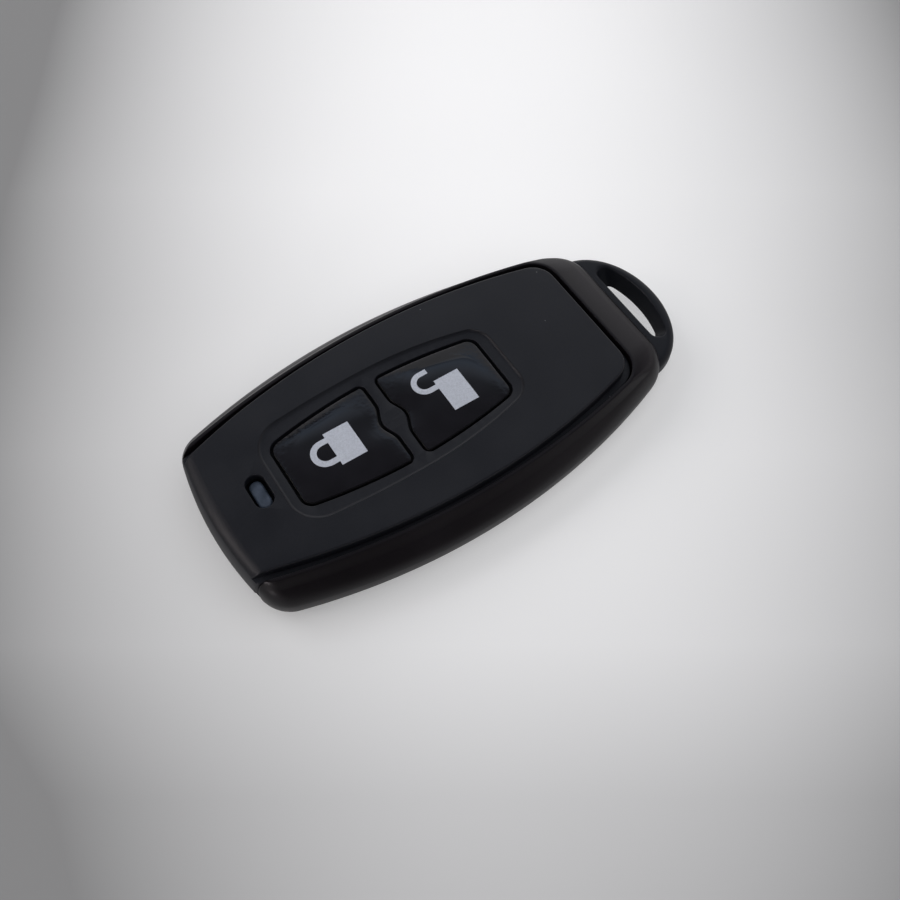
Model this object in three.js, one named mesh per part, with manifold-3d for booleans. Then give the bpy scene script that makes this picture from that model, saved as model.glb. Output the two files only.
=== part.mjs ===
// Two-button wireless remote control on a key loop, in millimetres.
// +X runs towards the key loop, +Y across, +Z up, and the origin lies under the middle of the
// bounding box, on the surface that the remote rests on.

import * as THREE from 'three';
import { mergeVertices } from 'three/addons/utils/BufferGeometryUtils.js';
import Module from 'manifold-3d';

const wasm = await Module();
wasm.setup();

// Overall form in plan
const buttonsToLoopEnd = 22.3;
const loopReach = 6.5;
const besideClip = 1.4;
const beltWidestBeforeMiddle = 5.2;
const beltBow = 92.5;
const beltLedCorner = 5;
const beltLoopCorner = 5.5;
const beltEndBow = 50;
const crestEndBow = 95;

// Front panel in plan: what lies between it and the outside of the side frame
const sideBand = 4;
const loopBand = 6.6;
const panelWidestBeforeMiddle = 3.7;
const panelBow = 93;
const panelCorner = 3.5;
const ledgeWidth = 0.5;
const ledgeLoopWidth = 0.85;
const ledgeLedBow = 120;
const ledgeLoopBow = 108;
const rimWidth = 0.5;
const panelGap = 0.12;

// Heights, stacked from the surface that the remote rests on
const floorThickness = 1.1;
const seatClearance = 0.1;
const clipThickness = 0.2;
const cellHeight = 3.2;
const contactHeight = 0.4;
const boardThickness = 1;
const switchHeight = 1;
const plungerHeight = 0.4;
const postHeight = 0.25;
const flangeThickness = 0.4;
const flangeClearance = 0.1;
const coverThickness = 1.35;

// Side view of the shells
const rimHeight = 1.75;
const beltAboveParting = 1.9;
const bottomTuck = 3;
const ledOverhang = 2.4;
const panelStep = 0.8;
const partingGap = 0.1;
const skirtWall = 1.3;
const endWall = 1.4;
const endWallDepth = 4;
const lipWall = 0.9;
const frameFootHeight = 0.75;
const frameFootWidth = 1.2;
const ledRimCorner = 3;

// Pry notch at the corner of the frame's arm
const notchWidth = 1.5;
const notchHeight = 1.5;
const notchDepth = 1.1;

// Key loop
const loopThickness = 3.3;
const loopBottom = 2.6;
const loopHalfWidth = 11.4;
const loopRoot = 2;
const loopRounding = 1.1;
const loopBandWidth = 1.75;
const loopLand = 1.05;
const slotHalfLength = 8.2;
const slotCorner = 1.2;
const slotSag = 2.1;

// Sunken pad round the buttons
const padDepth = 0.35;
const padLedMargin = 1.47;
const padLoopMargin = 1.85;
const padSideMargin = 1.68;
const padLedBow = 140;
const padLoopBow = 62;
const padLedCorner = 4.5;
const padLoopCorner = 3.4;

// Button windows and the bridge between them
const lockWindowLength = 15.73;
const unlockWindowLength = 15.55;
const windowHalfWidth = 7.12;
const windowBow = 78;
const windowCorner = 1.9;
const bridgeHalf = 0.75;
const eyeHalf = 1.65;
const eyeHalfLength = 3.15;
const bridgeFlare = 1.2;

// Buttons and their glossy labels
const buttonGap = 0.35;
const flangeReach = 0.8;
const flangeSplit = 0.3;
const postRadius = 1.2;
const labelSeat = 0.15;
const labelInset = 0.12;
const labelEdge = 0.22;
const labelCrown = 0.28;

// Indicator window
const ledFromEnd = 7.7;
const ledToPad = 0.9;
const ledSlotWidth = 2.7;
const ledSlotLength = 5.2;
const lensClearance = 0.3;
const lensRecess = 1;
const lensFlange = 0.6;
const lensNib = 0.3;
const ledLength = 3.2;
const ledWidth = 1.6;
const ledHeight = 1;
const ledBaseHeight = 0.45;

// Tactile switches
const switchSide = 5.2;
const switchPlate = 0.12;
const switchChamfer = 0.7;
const plungerRadius = 1;
const plungerFlangeRadius = 1.45;
const plungerFlange = 0.25;
const plungerClearance = 0.06;
const pressTravel = 0.35;

// Circuit board, its fasteners and what it carries
const boardClearance = 0.3;
const screwFromBoardEnd = 9.3;
const screwFromBoardEdge = 3;
const screwRadius = 0.7;
const screwClearance = 0.06;
const screwHeadRadius = 1.3;
const screwHeadHeight = 0.7;
const screwLength = 2.6;
const driveWidth = 0.3;
const driveLength = 1.3;
const driveDepth = 0.4;
const bossRadius = 1.7;
const antennaInset = 0.6;
const antennaWidth = 0.8;
const antennaHeight = 0.2;
const antennaReach = 17;
const chipLength = 4.9;
const chipWidth = 3.9;
const chipHeight = 1.2;
const chipStandoff = 0.15;
const legCount = 4;
const legPitch = 1.27;
const legWidth = 0.42;
const legReach = 1.05;
const legThickness = 0.2;
const sawLength = 5;
const sawWidth = 3.6;
const sawHeight = 1.3;
const sawLid = 0.3;
const sawLidInset = 0.35;
const crystalLength = 5;
const crystalWidth = 3.2;
const crystalHeight = 1.1;
const transistorLength = 2.9;
const transistorWidth = 1.3;
const transistorHeight = 1;
const chipPartLength = 2;
const chipPartWidth = 1.25;
const chipPartHeight = 0.6;
const terminalLength = 0.4;
const terminalLift = 0.05;
const partSpacing = 0.6;
const partsFromMiddle = 3.4;
const smallPartsFromMiddle = 5;

// Coin cell and battery contacts
const cellRadius = 10;
const cellCapRadius = 8.7;
const cellCapHeight = 0.25;
const cellRounding = 0.3;
const cellToLip = 4.4;
const clipWidth = 7;
const clipSideClearance = 0.3;
const clipFoot = 0.8;
const leafWidth = 4;
const leafLength = 9;
const leafThickness = 0.15;
const leafRoot = 2.5;

// Working values of the modeller
const overrun = 1;
const weldDistance = 0.001;
const cornerSteps = 5;
const endCornerSteps = 6;
const endSteps = 4;
const sideSteps = 9;
const bridgeSteps = 28;
const smallRound = 24;
const cellRound = 40;
const domeRound = 48;
const domeRings = 8;
const leanTurns = 30;

// Plan: the body is as long as its row of indicator, buttons and electronics,
// and as wide as the coin cell in its clip inside the walls
const windowFromEnd = ledFromEnd + ledSlotWidth / 2 + ledToPad + padLedMargin;
const windowLength = lockWindowLength + 2 * bridgeHalf + unlockWindowLength;
const bodyLength = windowFromEnd + windowLength + buttonsToLoopEnd;
const clipReach = cellRadius + clipSideClearance + clipThickness + clipFoot;
const bodyHalf = clipReach + besideClip + lipWall + seatClearance + skirtWall - ledgeWidth + sideBand;
const ledEnd = -(bodyLength + loopReach) / 2;
const loopTip = (bodyLength + loopReach) / 2;
const frameEnd = ledEnd + bodyLength;
const ledX = ledEnd + ledFromEnd;

const clipBottom = floorThickness + seatClearance;
const cellBottom = clipBottom + clipThickness + seatClearance;
const cellTop = cellBottom + cellHeight;
const boardBottom = cellTop + contactHeight;
const boardTop = boardBottom + boardThickness;
const switchTop = boardTop + switchHeight;
const plungerTop = switchTop + plungerHeight;
const flangeBottom = plungerTop + postHeight;
const flangeTop = flangeBottom + flangeThickness;
const coverUnderside = flangeTop + flangeClearance;
const bodyHeight = coverUnderside + coverThickness;

const partingLow = floorThickness + rimHeight;
const partingHigh = partingLow + partingGap;
const footTop = partingHigh + frameFootHeight;
const skirtBottom = footTop + seatClearance;
const beltHeight = partingLow + beltAboveParting;
const frameTop = bodyHeight - panelStep;
const padLevel = bodyHeight - padDepth;
const capTop = padLevel - labelSeat;

// Leaning of the side, the loop end and the LED end above the belt, as unit curves:
// X is the share of the overhang, Y the share of the height
const sideLean = new THREE.CubicBezierCurve(
  new THREE.Vector2(0, 0), new THREE.Vector2(0, 0.24), new THREE.Vector2(0.3, 0.42), new THREE.Vector2(1, 1));
const loopLean = new THREE.CubicBezierCurve(
  new THREE.Vector2(0, 0), new THREE.Vector2(0, 0.62), new THREE.Vector2(0.3, 0.9), new THREE.Vector2(1, 1));
const ledLean = new THREE.CubicBezierCurve(
  new THREE.Vector2(0, 0), new THREE.Vector2(0, 0.5), new THREE.Vector2(0.25, 0.93), new THREE.Vector2(1, 1));
const levelShares = [0, 0.16, 0.34, 0.52, 0.7, 0.86, 1];
const footShares = [0, 0.5];
const shoulderShares = [0.35, 0.7, 1];
const tuckShares = [0, 0.04, 0.12, 0.26, 0.46, 0.72, 1];

// Switch places: the middle of each button window
const windowLedEnd = ledEnd + windowFromEnd;
const windowLoopEnd = windowLedEnd + windowLength;
const bridgeCentre = windowLedEnd + lockWindowLength + bridgeHalf;
const lockCentre = (windowLedEnd + bridgeCentre) / 2;
const unlockCentre = (windowLoopEnd + bridgeCentre) / 2;

// Materials
const panelBlack = new THREE.MeshStandardMaterial({ color: 0x26282d, roughness: 0.55, metalness: 0 });
const frameBlack = new THREE.MeshStandardMaterial({ color: 0x1d1c1f, roughness: 0.32, metalness: 0 });
const capBlack = new THREE.MeshStandardMaterial({ color: 0x16171b, roughness: 0.45, metalness: 0 });
const glossBlack = new THREE.MeshStandardMaterial({ color: 0x07080c, roughness: 0.06, metalness: 0 });
const lensBlue = new THREE.MeshStandardMaterial({ color: 0x343e4d, roughness: 0.35, metalness: 0 });
const boardGreen = new THREE.MeshStandardMaterial({ color: 0x14502f, roughness: 0.5, metalness: 0 });
const ledWhite = new THREE.MeshStandardMaterial({ color: 0xe6e2d0, roughness: 0.3, metalness: 0 });
const switchBlack = new THREE.MeshStandardMaterial({ color: 0x202022, roughness: 0.6, metalness: 0 });
const sheetSteel = new THREE.MeshStandardMaterial({ color: 0xb9bcc0, roughness: 0.35, metalness: 1 });
const chipBlack = new THREE.MeshStandardMaterial({ color: 0x1a1a1c, roughness: 0.7, metalness: 0 });
const copper = new THREE.MeshStandardMaterial({ color: 0xb8733a, roughness: 0.35, metalness: 1 });
const ceramicTan = new THREE.MeshStandardMaterial({ color: 0xa98a5c, roughness: 0.6, metalness: 0 });

// Turns a closed three.js geometry into a solid that can be cut and joined.
function solid(geometry) {
  const bare = geometry.clone();
  bare.deleteAttribute('normal');
  bare.deleteAttribute('uv');
  const welded = mergeVertices(bare, weldDistance);
  return new wasm.Manifold(new wasm.Mesh({
    numProp: 3,
    vertProperties: Float32Array.from(welded.attributes.position.array),
    triVerts: Uint32Array.from(welded.index.array),
  }));
}

// Gives a solid back as a named mesh.
function piece(name, body, material) {
  const mesh = body.getMesh();
  const geometry = new THREE.BufferGeometry();
  geometry.setAttribute('position', new THREE.BufferAttribute(mesh.vertProperties, 3));
  geometry.setIndex(new THREE.BufferAttribute(mesh.triVerts, 1));
  geometry.computeVertexNormals();
  const part = new THREE.Mesh(geometry, material);
  part.name = name;
  return part;
}

function join(...solids) {
  return solids.reduce((whole, next) => whole.add(next));
}

function cut(body, ...tools) {
  return tools.reduce((whole, tool) => whole.subtract(tool), body);
}

// A straight-sided solid over an outline, between two heights.
function prism(outline, low, high) {
  const shape = new THREE.Shape(outline);
  const geometry = new THREE.ExtrudeGeometry(shape, { depth: high - low, bevelEnabled: false });
  geometry.translate(0, 0, low);
  return solid(geometry);
}

function block(x, y, z) {
  const geometry = new THREE.BoxGeometry(x[1] - x[0], y[1] - y[0], z[1] - z[0]);
  geometry.translate((x[0] + x[1]) / 2, (y[0] + y[1]) / 2, (z[0] + z[1]) / 2);
  return solid(geometry);
}

// A block by the middle of its plan, its length along X and its width along Y.
function slab(x, y, length, width, low, high) {
  return block([x - length / 2, x + length / 2], [y - width / 2, y + width / 2], [low, high]);
}

function disc(x, y, radius, low, high, steps = smallRound) {
  const geometry = new THREE.CylinderGeometry(radius, radius, high - low, steps);
  geometry.rotateX(Math.PI / 2);
  geometry.translate(x, y, (low + high) / 2);
  return solid(geometry);
}

// A solid through a stack of outlines that all have the same number of points.
function loft(rings) {
  const count = rings[0].outline.length;
  const positions = rings.flatMap(({ z, outline }) => outline.flatMap((p) => [p.x, p.y, z]));
  const faces = [];
  for (let level = 0; level + 1 < rings.length; level += 1) {
    for (let i = 0; i < count; i += 1) {
      const next = (i + 1) % count;
      const [a, b] = [level * count + i, level * count + next];
      faces.push(a, b, b + count, a, b + count, a + count);
    }
  }
  const top = (rings.length - 1) * count;
  const lowCap = THREE.ShapeUtils.triangulateShape(rings[0].outline, []);
  const highCap = THREE.ShapeUtils.triangulateShape(rings[rings.length - 1].outline, []);
  lowCap.forEach(([a, b, c]) => faces.push(a, c, b));
  highCap.forEach(([a, b, c]) => faces.push(top + a, top + b, top + c));
  const geometry = new THREE.BufferGeometry();
  geometry.setAttribute('position', new THREE.Float32BufferAttribute(positions, 3));
  geometry.setIndex(faces);
  return solid(geometry);
}

// Points of an arc about a centre, from one angle to another, without its last point.
function arc(x, y, radius, from, to, steps) {
  return Array.from({ length: steps }, (_, i) => {
    const angle = from + (to - from) * (i / steps);
    return new THREE.Vector2(x + radius * Math.cos(angle), y + radius * Math.sin(angle));
  });
}

// Where a corner's round meets a straight end and a bowed side: its centre and its turn.
function cornerAt(end, bow, half, corner) {
  const along = end - corner;
  const across = Math.sqrt((bow - corner) ** 2 - along ** 2) - (bow - half);
  return { along, across, turn: Math.atan2(across + bow - half, along), endTurn: 0 };
}

// The same at an end that is bowed too: the centre lies where two circles about the bows meet.
function bowedCornerAt(end, endBow, bow, half, corner) {
  const side = new THREE.Vector2(0, half - bow);
  const middle = new THREE.Vector2(end - endBow, 0);
  const [fromSide, fromMiddle, apart] = [bow - corner, endBow - corner, side.distanceTo(middle)];
  const towards = middle.clone().sub(side).normalize();
  const run = (fromSide ** 2 - fromMiddle ** 2 + apart ** 2) / (2 * apart);
  const off = Math.sqrt(fromSide ** 2 - run ** 2);
  const along = side.x + run * towards.x + off * towards.y;
  const across = side.y + run * towards.y - off * towards.x;
  return {
    along, across, turn: Math.atan2(across - side.y, along), endTurn: Math.atan2(across, along - middle.x),
  };
}

// The barrel outline that the whole remote is built on: sides bowed to one radius towards each
// end, a straight loop end, a LED end that is straight or bowed, and round corners.
// An inset draws it in, a negative one lets it out.
function barrel(form, inset = 0) {
  const { widest } = form;
  const half = form.half - inset;
  const loopSide = Math.max(form.loopCorner - inset, rimWidth);
  const ledSide = Math.max(form.ledCorner - inset, rimWidth);
  const loopBow = form.loopBow - inset;
  const ledBow = form.ledBow - inset;
  const endBow = form.endBow - inset;
  const ledPlace = form.ledEnd + inset;
  const loop = cornerAt(form.loopEnd - inset - widest, loopBow, half, loopSide);
  const led = form.endBow
    ? bowedCornerAt(widest - ledPlace, endBow, ledBow, half, ledSide)
    : cornerAt(widest - ledPlace, ledBow, half, ledSide);
  const end = form.endBow
    ? arc(ledPlace + endBow, 0, endBow, Math.PI - led.endTurn, Math.PI, endSteps)
    : [new THREE.Vector2(ledPlace, led.across)];
  const quarter = Math.PI / 2;
  const upper = [
    ...arc(widest + loop.along, loop.across, loopSide, 0, loop.turn, cornerSteps),
    ...arc(widest, half - loopBow, loopBow, loop.turn, quarter, sideSteps),
    ...arc(widest, half - ledBow, ledBow, quarter, Math.PI - led.turn, sideSteps),
    ...arc(widest - led.along, led.across, ledSide, Math.PI - led.turn, Math.PI - led.endTurn, endCornerSteps),
    ...end,
  ];
  const crown = form.endBow ? [new THREE.Vector2(ledPlace, 0)] : [];
  const lower = upper.map((p) => new THREE.Vector2(p.x, -p.y)).reverse();
  return [...upper, ...crown, ...lower];
}

function mix(from, to, share) {
  return from + (to - from) * share;
}

// The share of the overhang that a leaning curve has reached at a share of its height.
function leanAt(curve, share) {
  let [low, high] = [0, 1];
  const bounded = Math.min(Math.max(share, 0), 1);
  for (let turn = 0; turn < leanTurns; turn += 1) {
    const middle = (low + high) / 2;
    if (curve.getPoint(middle).y < bounded) low = middle;
    else high = middle;
  }
  return curve.getPoint((low + high) / 2).x;
}

// Outlines of the belt, the panel, its ledge and the frame's inner rim
const beltForm = {
  widest: -beltWidestBeforeMiddle, ledEnd, loopEnd: frameEnd, half: bodyHalf, ledBow: beltBow, loopBow: beltBow,
  ledCorner: beltLedCorner, loopCorner: beltLoopCorner, endBow: beltEndBow,
};
const panelForm = {
  widest: -panelWidestBeforeMiddle, ledEnd: ledEnd - overrun, loopEnd: frameEnd - loopBand,
  half: bodyHalf - sideBand, ledBow: panelBow, loopBow: panelBow, ledCorner: rimWidth, loopCorner: panelCorner,
};

// A form drawn in by an inset on its sides and loop end, with the LED end where it was.
function drawnIn(form, inset) {
  return {
    ...form, loopEnd: form.loopEnd - inset, half: form.half - inset, ledBow: form.ledBow - inset,
    loopBow: form.loopBow - inset, loopCorner: Math.max(form.loopCorner - inset, rimWidth),
  };
}

const ledgeForm = {
  ...drawnIn(panelForm, -ledgeWidth), loopEnd: panelForm.loopEnd + ledgeLoopWidth,
  ledBow: ledgeLedBow, loopBow: ledgeLoopBow,
};
const frameInnerForm = drawnIn(ledgeForm, -panelGap);
const rimForm = { ...drawnIn(frameInnerForm, -rimWidth), ledCorner: ledRimCorner };

// The LED end's place at a height, with the tuck under the belt left out.
function ledEndAt(z) {
  return ledEnd + ledOverhang * leanAt(ledLean, (z - beltHeight) / (bodyHeight - beltHeight));
}

// How far the whole outline is tucked in below the belt.
function tuckAt(z) {
  const drop = Math.min(Math.max((beltHeight - z) / beltHeight, 0), 1);
  return bottomTuck * (1 - Math.sqrt(1 - drop ** 2));
}

// The body's outside at a height, before its shells are parted.
function bodyRing(z) {
  const share = (z - beltHeight) / (frameTop - beltHeight);
  const side = leanAt(sideLean, share);
  const form = {
    widest: mix(beltForm.widest, rimForm.widest, side),
    ledEnd: ledEndAt(z),
    loopEnd: mix(beltForm.loopEnd, rimForm.loopEnd, leanAt(loopLean, share)),
    half: mix(beltForm.half, rimForm.half, side),
    ledBow: mix(beltForm.ledBow, rimForm.ledBow, side),
    loopBow: mix(beltForm.loopBow, rimForm.loopBow, side),
    ledCorner: mix(beltForm.ledCorner, rimForm.ledCorner, side),
    loopCorner: mix(beltForm.loopCorner, rimForm.loopCorner, side),
    endBow: mix(beltEndBow, crestEndBow, (ledEndAt(z) - ledEnd) / ledOverhang),
  };
  return { z, outline: barrel(form, tuckAt(z)) };
}

// Heights between two levels at which the body's outside is sampled.
function heights(low, high, shares) {
  return shares.map((share) => mix(low, high, share));
}

// A prism of a form that runs out past the LED end.
function openPrism(form, low, high) {
  return prism(barrel(form), low, high);
}

const ledgeSide = openPrism(ledgeForm, partingHigh - overrun, bodyHeight + overrun);
const everything = [ledEnd - overrun, loopTip + overrun];
const across = [-2 * bodyHalf, 2 * bodyHalf];

// Key loop: a flat rounded tongue of half-oval outline with a D-shaped slot
const loopCentre = frameEnd - loopRoot;
const loopTop = loopBottom + loopThickness;

function loopRing(z, inset) {
  const [long, wide] = [loopTip - loopCentre - inset, loopHalfWidth - inset];
  const steps = 4 * sideSteps;
  const outline = Array.from({ length: steps }, (_, i) => {
    const angle = (2 * Math.PI * i) / steps;
    return new THREE.Vector2(loopCentre + long * Math.cos(angle), wide * Math.sin(angle));
  });
  return { z, outline };
}

function loopPlate(outset) {
  const roundingShares = [0, 0.5, 1];
  const rounding = roundingShares.map((share) => {
    const angle = (share * Math.PI) / 2;
    return { rise: loopRounding * (1 - Math.cos(angle)), inset: loopRounding * (1 - Math.sin(angle)) };
  });
  const low = rounding.map(({ rise, inset }) => loopRing(loopBottom - outset + rise, inset - outset));
  const high = rounding.map(({ rise, inset }) => loopRing(loopTop + outset - rise, inset - outset)).reverse();
  const front = frameInnerForm.loopEnd + seatClearance - outset;
  return loft([...low, ...high]).intersect(block([front, everything[1]], across, [0, bodyHeight]));
}

function loopSlot() {
  const flat = frameEnd + loopLand;
  const tip = loopTip - loopBandWidth;
  const radius = (slotHalfLength ** 2 + slotSag ** 2) / (2 * slotSag);
  const centre = tip - radius;
  const along = flat + slotCorner - centre;
  const side = Math.sqrt((radius - slotCorner) ** 2 - along ** 2);
  const turn = Math.atan2(side, along);
  const upper = [
    ...arc(centre, 0, radius, 0, turn, sideSteps),
    ...arc(flat + slotCorner, side, slotCorner, turn, Math.PI, cornerSteps),
    new THREE.Vector2(flat, side),
  ];
  const lower = upper.slice(1).map((p) => new THREE.Vector2(p.x, -p.y)).reverse();
  return prism([...upper, ...lower], 0, bodyHeight);
}

// Pry notch: a small wedge out of the joint between arm, front cover and back cover
function pryNotch() {
  const edge = sideAt(ledgeForm, ledEnd);
  const sag = beltEndBow - Math.sqrt(beltEndBow ** 2 - edge ** 2);
  const wedge = [
    new THREE.Vector2(-notchWidth / 2, 0),
    new THREE.Vector2(notchWidth / 2, 0),
    new THREE.Vector2(0, notchHeight),
  ];
  const geometry = new THREE.ExtrudeGeometry(new THREE.Shape(wedge), {
    depth: overrun + sag + notchDepth, bevelEnabled: false,
  });
  geometry.rotateX(Math.PI / 2);
  geometry.rotateZ(Math.PI / 2);
  geometry.translate(ledEnd - overrun, -edge, partingLow);
  return solid(geometry);
}

const notch = pryNotch();

// Hollow of the front cover, which the back cover's lip and the board fit into
function hollowForm(z, inset = 0) {
  const form = drawnIn(ledgeForm, skirtWall + inset);
  return {
    ...form, ledEnd: ledEndAt(z) + tuckAt(z) + endWall + inset, ledCorner: ledRimCorner,
    endBow: beltEndBow - endWall - inset,
  };
}

function hollowRing(z) {
  return { z, outline: barrel(hollowForm(z)) };
}

// Windows for the two buttons, and the bridge that parts them
const windowForm = {
  widest: bridgeCentre, ledEnd: windowLedEnd, loopEnd: windowLoopEnd, half: windowHalfWidth,
  ledBow: windowBow, loopBow: windowBow, ledCorner: windowCorner, loopCorner: windowCorner,
};

function bridgeHalfAt(y, extra) {
  const reach = Math.min(Math.abs(y) / eyeHalfLength, 1);
  const eye = (eyeHalf - bridgeHalf) * Math.cos((reach * Math.PI) / 2) ** 2;
  const into = Math.min(Math.max(Math.abs(y) - (windowHalfWidth - bridgeFlare), 0), bridgeFlare);
  const flare = bridgeFlare - Math.sqrt(bridgeFlare ** 2 - into ** 2);
  return bridgeHalf + extra + eye + flare;
}

function bridge(extra, low, high) {
  const reach = windowHalfWidth + flangeReach + overrun;
  const far = Array.from({ length: bridgeSteps + 1 }, (_, i) => {
    const y = mix(-reach, reach, i / bridgeSteps);
    return new THREE.Vector2(bridgeCentre + bridgeHalfAt(y, extra), y);
  });
  const near = far.map((p) => new THREE.Vector2(2 * bridgeCentre - p.x, p.y)).reverse();
  return prism([...far, ...near], low, high);
}

const lockSide = block([everything[0], bridgeCentre], across, [0, bodyHeight + overrun]);
const unlockSide = block([bridgeCentre, everything[1]], across, [0, bodyHeight + overrun]);

function windows(inset, low, high, bridgeExtra = inset) {
  const both = prism(barrel(windowForm, inset), low, high);
  return both.subtract(bridge(bridgeExtra, low - overrun, high + overrun));
}

// An oblong with round ends, along Y, at the indicator's place
function oblong(inset, low, high) {
  const radius = ledSlotWidth / 2 - inset;
  const run = (ledSlotLength - ledSlotWidth) / 2;
  const outline = [
    ...arc(ledX, run, radius, 0, Math.PI, 2 * cornerSteps),
    new THREE.Vector2(ledX - radius, run),
    ...arc(ledX, -run, radius, Math.PI, 2 * Math.PI, 2 * cornerSteps),
    new THREE.Vector2(ledX + radius, -run),
  ];
  return prism(outline, low, high);
}

// How far a form's bowed side lies from the middle line at a place along it.
function sideAt(form, x) {
  const bow = x > form.widest ? form.loopBow : form.ledBow;
  return form.half - bow + Math.sqrt(bow ** 2 - (x - form.widest) ** 2);
}

// The board's outline and its screw places
const boardForm = hollowForm(boardTop, boardClearance);
const screwX = boardForm.ledEnd + screwFromBoardEnd;
const screwY = sideAt(boardForm, screwX) - screwFromBoardEdge;
const screwPlaces = [screwY, -screwY];

function frontCover() {
  const levels = [
    partingHigh,
    ...heights(beltHeight, frameTop, levelShares),
    ...heights(frameTop, bodyHeight, shoulderShares),
  ];
  const outside = loft(levels.map(bodyRing)).intersect(ledgeSide);
  const aboveLedge = [frameTop, bodyHeight + overrun];
  const ledge = openPrism(drawnIn(ledgeForm, -overrun), ...aboveLedge)
    .subtract(openPrism(panelForm, frameTop - overrun, bodyHeight + 2 * overrun));
  const mouth = hollowRing(partingHigh);
  const hollow = loft([
    { ...mouth, z: mouth.z - overrun },
    mouth,
    ...heights(beltHeight, coverUnderside, levelShares).map(hollowRing),
  ]);
  const skirtFoot = block([ledEnd + endWallDepth, everything[1]], across, [0, skirtBottom]);
  const padForm = {
    widest: bridgeCentre, ledEnd: windowLedEnd - padLedMargin, loopEnd: windowLoopEnd + padLoopMargin,
    half: windowHalfWidth + padSideMargin, ledBow: padLedBow, loopBow: padLoopBow,
    ledCorner: padLedCorner, loopCorner: padLoopCorner,
  };
  const pad = prism(barrel(padForm), padLevel, bodyHeight + overrun);
  return cut(outside, ledge, hollow, skirtFoot, pad, notch,
    windows(0, coverUnderside - overrun, bodyHeight + overrun),
    oblong(0, coverUnderside - overrun, bodyHeight + overrun));
}

function sideFrame() {
  const levels = [
    ...heights(partingHigh, beltHeight, footShares),
    ...heights(beltHeight, frameTop, levelShares),
  ];
  const outside = loft(levels.map(bodyRing));
  const within = openPrism(frameInnerForm, footTop, bodyHeight);
  const withinFoot = openPrism(drawnIn(frameInnerForm, frameFootWidth), 0, bodyHeight);
  const footEnd = ledEnd + endWallDepth - seatClearance;
  const clearEnd = openPrism(frameInnerForm, 0, bodyHeight)
    .intersect(block([ledEnd - 2 * overrun, footEnd + 2 * seatClearance], across, [0, bodyHeight]));
  return cut(outside, within, withinFoot, clearEnd, notch, loopPlate(seatClearance));
}

function backCover() {
  const levels = heights(0, partingLow, tuckShares);
  const shell = loft(levels.map(bodyRing));
  const lipForm = hollowForm(partingHigh, seatClearance);
  const lip = prism(barrel(lipForm), floorThickness, boardBottom);
  const well = prism(barrel(lipForm, lipWall), floorThickness, boardBottom + overrun);
  const bosses = screwPlaces.map((y) => disc(screwX, y, bossRadius, floorThickness / 2, boardBottom));
  const pilots = screwPlaces.map((y) => disc(screwX, y, screwRadius + screwClearance,
    boardTop - screwLength - seatClearance, bodyHeight));
  const tray = cut(join(shell, lip), well);
  return cut(join(tray, loopPlate(0), ...bosses), loopSlot(), ...pilots);
}

// A button: its cap in the window, the flange that keeps it in and the post on the switch.
function button(side, centre) {
  const cap = windows(buttonGap, flangeBottom, capTop);
  const flange = windows(-flangeReach, flangeBottom, flangeTop, flangeSplit - bridgeHalf);
  const post = disc(centre, 0, postRadius, plungerTop, flangeTop);
  return join(cap.intersect(side), flange.intersect(side), post);
}

// A label: a clear domed skin over black, thickest in its middle.
function label(side, centre, length) {
  const [low, high] = [capTop, capTop + labelEdge + labelCrown];
  const skin = windows(buttonGap + labelInset, low, high + overrun).intersect(side);
  const diagonal = Math.hypot(length / 2, windowHalfWidth);
  const radius = (diagonal ** 2 + labelCrown ** 2) / (2 * labelCrown);
  const cap = Math.acos((radius - 2 * labelCrown) / radius);
  const geometry = new THREE.LatheGeometry([
    new THREE.Vector2(0, high - radius),
    ...Array.from({ length: domeRings }, (_, i) => {
      const angle = cap * (1 - i / domeRings);
      return new THREE.Vector2(radius * Math.sin(angle), high - radius + radius * Math.cos(angle));
    }),
    new THREE.Vector2(0, high),
  ], domeRound);
  geometry.rotateX(Math.PI / 2);
  geometry.translate(centre, 0, 0);
  return skin.intersect(solid(geometry));
}

function ledLens() {
  const top = bodyHeight - lensRecess;
  return join(
    oblong(lensClearance, flangeBottom, top),
    oblong(-lensFlange, flangeBottom, flangeTop),
    oblong(lensFlange, flangeBottom - lensNib, flangeTop));
}

function statusLed() {
  return join(
    slab(ledX, 0, ledWidth, ledLength, boardTop, boardTop + ledBaseHeight),
    slab(ledX, 0, ledWidth - terminalLength, ledLength - 2 * terminalLength, boardTop, boardTop + ledHeight));
}

function circuitBoard() {
  const plate = prism(barrel(boardForm), boardBottom, boardTop);
  const holes = screwPlaces.map((y) => disc(screwX, y, screwRadius + 2 * screwClearance,
    boardBottom - overrun, boardTop + overrun));
  return cut(plate, ...holes);
}

// The square of a tactile switch, with its corners cut off.
function switchOutline(centre, side) {
  const [edge, bevel] = [side / 2, side / 2 - switchChamfer];
  const corners = [[edge, -bevel], [edge, bevel], [bevel, edge], [-bevel, edge]];
  const points = corners.map(([x, y]) => new THREE.Vector2(centre + x, y));
  const others = corners.map(([x, y]) => new THREE.Vector2(centre - x, -y));
  return [...points, ...others];
}

function switchBase(centre) {
  const top = switchTop - switchPlate;
  const body = prism(switchOutline(centre, switchSide), boardTop, top);
  const wellFloor = top - 2 * plungerClearance - plungerFlange - pressTravel;
  return cut(body, disc(centre, 0, plungerFlangeRadius + plungerClearance, wellFloor, top + overrun));
}

function switchCover(centre) {
  const plate = prism(switchOutline(centre, switchSide), switchTop - switchPlate, switchTop);
  return cut(plate, disc(centre, 0, plungerRadius + plungerClearance, switchTop - overrun, switchTop + overrun));
}

function switchPlunger(centre) {
  const underCover = switchTop - switchPlate - plungerClearance;
  return join(
    disc(centre, 0, plungerFlangeRadius, underCover - plungerFlange, underCover),
    disc(centre, 0, plungerRadius, underCover - plungerFlange, plungerTop));
}

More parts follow.
